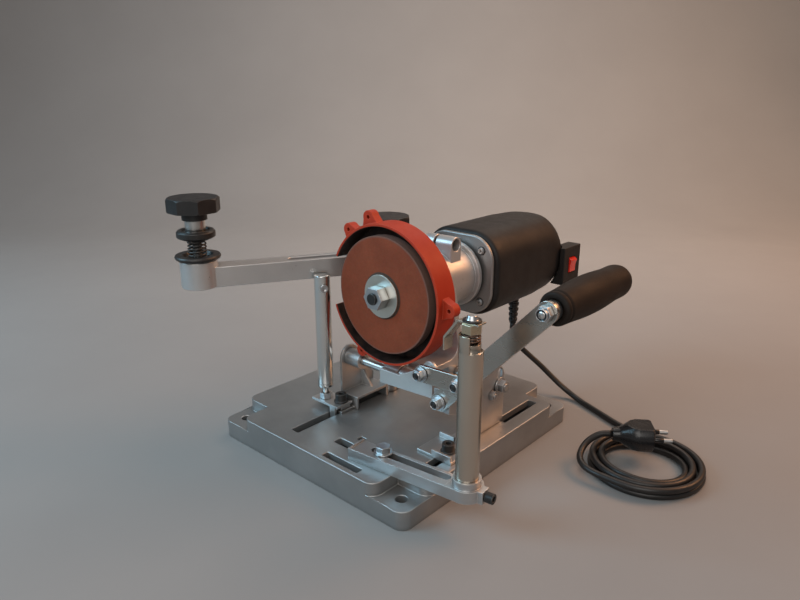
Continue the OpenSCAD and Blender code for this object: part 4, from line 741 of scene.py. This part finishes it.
def outline_radius(a):
    """Distance from the axis to the housing's rounded-square outline, in direction a."""
    x, z = abs(math.cos(a)), abs(math.sin(a))
    cx, cz = HOUSING_W / 2 - HOUSING_CORNER, HOUSING_H / 2 - HOUSING_CORNER
    if z * HOUSING_W / 2 <= x * cz:
        return HOUSING_W / 2 / x
    if x * HOUSING_H / 2 <= z * cx:
        return HOUSING_H / 2 / z
    along = x * cx + z * cz
    return along + math.sqrt(along ** 2 - cx ** 2 - cz ** 2 + HOUSING_CORNER ** 2)


def shell_rows():
    """(place along the axis, inset of the outline, limit on the radius) from the front lip to the rear."""
    rows = [(0.0, RIM + 4, NO_LIMIT)]
    for i in range(RIM_STEPS + 1):
        a = math.pi / 2 * i / RIM_STEPS
        rows.append((RIM - RIM * math.cos(a), RIM - RIM * math.sin(a), NO_LIMIT))
    rows += [(y, 0.0, NO_LIMIT) for y in (20, 40, 60, 80, 100)]
    straight = HOUSING_L - DOME
    reach = math.hypot(HOUSING_W / 2 - HOUSING_CORNER, HOUSING_H / 2 - HOUSING_CORNER) + HOUSING_CORNER + 1
    for i in range(DOME_STEPS + 1):
        a = math.pi / 2 * i / DOME_STEPS
        rows.append((straight + DOME * math.sin(a), 0.0, reach - DOME + DOME * math.cos(a)))
    return rows


def housing_shell():
    """The shell with its cooling slots, in place of the CAD's housing."""
    rows = shell_rows()
    verts, faces = [], []
    for y, inset, limit in rows:
        for k in range(SHELL_SIDES):
            a = TAU * k / SHELL_SIDES
            r = outline_radius(a) - inset
            r = (r ** -BLEND_POWER + limit ** -BLEND_POWER) ** (-1 / BLEND_POWER)
            x, z = SPINDLE_X + r * math.cos(a), SPINDLE_Z + r * math.sin(a)
            verts.append(Vector((x, HOUSING_Y + y, z)) * MM)
    for i in range(len(rows) - 1):
        slotted = SLOTS_FROM < rows[i + 1][2] and rows[i][2] < SLOTS_TO
        for k in range(SHELL_SIDES):
            if slotted and k % SLOT_GROUP in SLOT_STRIPS:
                continue
            a, b = i * SHELL_SIDES + k, i * SHELL_SIDES + (k + 1) % SHELL_SIDES
            faces.append([a, b, b + SHELL_SIDES, a + SHELL_SIDES])
    last = (len(rows) - 1) * SHELL_SIDES
    faces.append([last + k for k in range(SHELL_SIDES)])
    made = piece("housing_shell", verts, faces, PLASTIC, "head", "black_plastic")
    thick = made.modifiers.new("thick", "SOLIDIFY")
    thick.thickness = SHELL * MM
    thick.offset = -1
    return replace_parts(made, "motor_housing")


housing_shell()


# Left post: a turned rod with a chamfered top, on its threaded stud
LEFT_POST = (-55.5, -65)
post_rod = [(0, 37), (3.4, 37), (4, 37.6), (4, 57.9), (7.9, 58.5), (9, 59.6), (9, 62.5), (8.78, 63),
            (8.78, 64), (9, 64.5), (9, 120), (9, 190.8), (7.9, 192), (2, 192), (0, 191.6)]
rod = lathe([(r * MM, t * MM) for r, t in post_rod], (LEFT_POST[0] * MM, LEFT_POST[1] * MM, 0), (0, 0, 1), 56)
left_rod = piece("left_rod", *rod, POLISHED, "left_post", "bright_steel")
even_normals(left_rod)
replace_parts(left_rod, "left_post")


# Right post: a turned rod whose top wall is cut away on one side, round a shorter core
NOTCH_FLOOR, CORE_TOP, POST_TOP = 176, 183, 191
NOTCH_TURN = 22
NOTCH_FROM, NOTCH_TO = math.radians(NOTCH_TURN + 82.2), math.radians(NOTCH_TURN + 277.8)


def standing_wall(profile, start, end, steps=40):
    """Verts and faces of a closed (radius, height) outline turned part of the way round the post."""
    verts, faces = [], []
    count = len(profile)
    for i in range(steps + 1):
        a = start + (end - start) * i / steps
        verts += [Vector((POST[0] + r * math.cos(a), POST[1] + r * math.sin(a), z)) * MM for r, z in profile]
    for i in range(steps):
        for k in range(count):
            a, b = i * count + k, i * count + (k + 1) % count
            faces.append([a, b, b + count, a + count])
    faces += [list(range(count)), [steps * count + k for k in range(count)]]
    return verts, faces


post_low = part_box("right_post")[0][2] / MM
post_body = [(0, post_low), (10.4, post_low), (11, post_low + 0.6), (11, 120), (11, NOTCH_FLOOR - 0.5),
             (10.5, NOTCH_FLOOR), (8.5, NOTCH_FLOOR), (8.5, CORE_TOP - 0.3), (8.2, CORE_TOP), (5.2, CORE_TOP),
             (5.2, 172), (0, 172)]
post_wall = [(8.3, NOTCH_FLOOR - 0.8), (11, NOTCH_FLOOR - 0.8), (11, POST_TOP - 0.5), (10.5, POST_TOP),
             (9.2, POST_TOP), (9, POST_TOP - 0.2), (9, CORE_TOP), (8.3, CORE_TOP)]
post_turned = lathe([(r * MM, t * MM) for r, t in post_body], (POST[0] * MM, POST[1] * MM, 0), (0, 0, 1), 64)
post_shape = merged(post_turned, standing_wall(post_wall, NOTCH_FROM, NOTCH_TO))
turned_post = piece("turned_post", *post_shape, WARM_STEEL, "right_post", "bright_steel")
even_normals(turned_post)
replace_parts(turned_post, "right_post")


# Dark washer under the pawl's bolt head
PAWL_TOP = 0.2025
shim = lathe([(3.2 * MM, -0.00005), (8.1 * MM, -0.00005), (8.2 * MM, 0.0003), (8.2 * MM, 0.0012),
              (8.0 * MM, 0.0016), (5.5 * MM, 0.0016)], (POST[0] * MM, POST[1] * MM, PAWL_TOP), (0, 0, 1), 48)
piece("pawl_shim", *shim, BLACK_STEEL, "pawl", "black_steel")


# Blotter behind the wheel's washer
WHEEL_FACE = -0.057
blotter = lathe([(7 * MM, 0), (7 * MM, 0.0004), (24.6 * MM, 0.0004), (24.9 * MM, 0.0002), (24.9 * MM, 0)],
                (SPINDLE[0], WHEEL_FACE, SPINDLE[1]), (0, -1, 0), 64)
piece("wheel_blotter", *blotter, BLOTTER, "spindle", "abrasive")


# Floor and backdrop: one plain sweep, square to the view
def sweep():
    """A floor that curves up into a wall behind the object."""
    radius, behind, front, half, tall = 0.9, 1.1, 40.0, 60.0, 3.0
    section = [(-front, 0.0), (behind, 0.0)]
    section += [(behind + radius * math.sin(a), radius - radius * math.cos(a))
                for a in [math.pi / 2 * i / 24 for i in range(1, 25)]]
    section.append((behind + radius, tall))
    verts, faces = [], []
    for d, z in section:
        verts += [AWAY * d - RIGHT * half + Vector((0, 0, z)), AWAY * d + RIGHT * half + Vector((0, 0, z))]
    for i in range(len(section) - 1):
        faces.append([2 * i, 2 * i + 1, 2 * i + 3, 2 * i + 2])
    mesh = bpy.data.meshes.new("backdrop")
    mesh.from_pydata([tuple(v) for v in verts], [], faces)
    for face in mesh.polygons:
        face.use_smooth = True
    made = bpy.data.objects.new("backdrop", mesh)
    bpy.context.scene.collection.objects.link(made)
    return made


PAPER = material(
    "paper_sweep", dark=(0.262, 0.258, 0.254), light=(0.28, 0.276, 0.272),
    metallic=0.0, rough=(0.8, 0.92), tone_scale=3, grain_scale=160, grain=0.05)
backdrop = sweep()
paint(backdrop, PAPER)


# Soft studio light: cool from the left, warm from the right
OBJECT_AT = (0.03, 0.0, 0.10)
WALL_AT = (-1.2, 1.48, 0.4)
GLOW_AT = (-0.45, 2.10, 0.3)
FLOOR_AT = (-0.64, 1.08, 0.02)


def lamp(name, side, back, up, size, power, colour, aim=OBJECT_AT):
    """A round lamp that looks at aim from so far to the right, away and up, as the camera sees it."""
    data = bpy.data.lights.new(name, "AREA")
    data.shape = "DISK"
    data.size = size
    data.energy = power
    data.color = colour
    made = bpy.data.objects.new(name, data)
    made.location = Vector(aim) + RIGHT * side + AWAY * back + Vector((0, 0, up))
    made.rotation_euler = (Vector(aim) - made.location).to_track_quat("-Z", "Y").to_euler()
    made.visible_camera = False
    bpy.context.scene.collection.objects.link(made)


lamp("cool_left", -1.5, -0.25, 0.95, 1.0, 18, (0.46, 0.79, 1.0))
lamp("warm_right", 1.35, 0.25, 1.15, 0.9, 16, (1.0, 0.47, 0.22))
lamp("front_fill", -0.3, -1.5, 1.0, 1.4, 13, (1.0, 0.95, 0.90))
lamp("overhead", 0.1, 0.3, 1.7, 1.4, 4, (1.0, 0.95, 0.91))
lamp("wall_wash", 0.0, -1.1, 0.8, 1.1, 7, (1.0, 0.88, 0.80), WALL_AT)
lamp("wall_glow", 0.2, -0.9, 0.7, 0.9, 4, (1.0, 0.52, 0.22), GLOW_AT)
lamp("floor_pool", 0.15, -0.4, 1.0, 0.8, 5, (1.0, 0.84, 0.72), FLOOR_AT)
world = bpy.data.worlds.new("studio")
world.use_nodes = True
world.node_tree.nodes["Background"].inputs["Color"].default_value = (0.30, 0.29, 0.285, 1)
world.node_tree.nodes["Background"].inputs["Strength"].default_value = 0.6
bpy.context.scene.world = world
bpy.context.scene.view_settings.view_transform = "Standard"
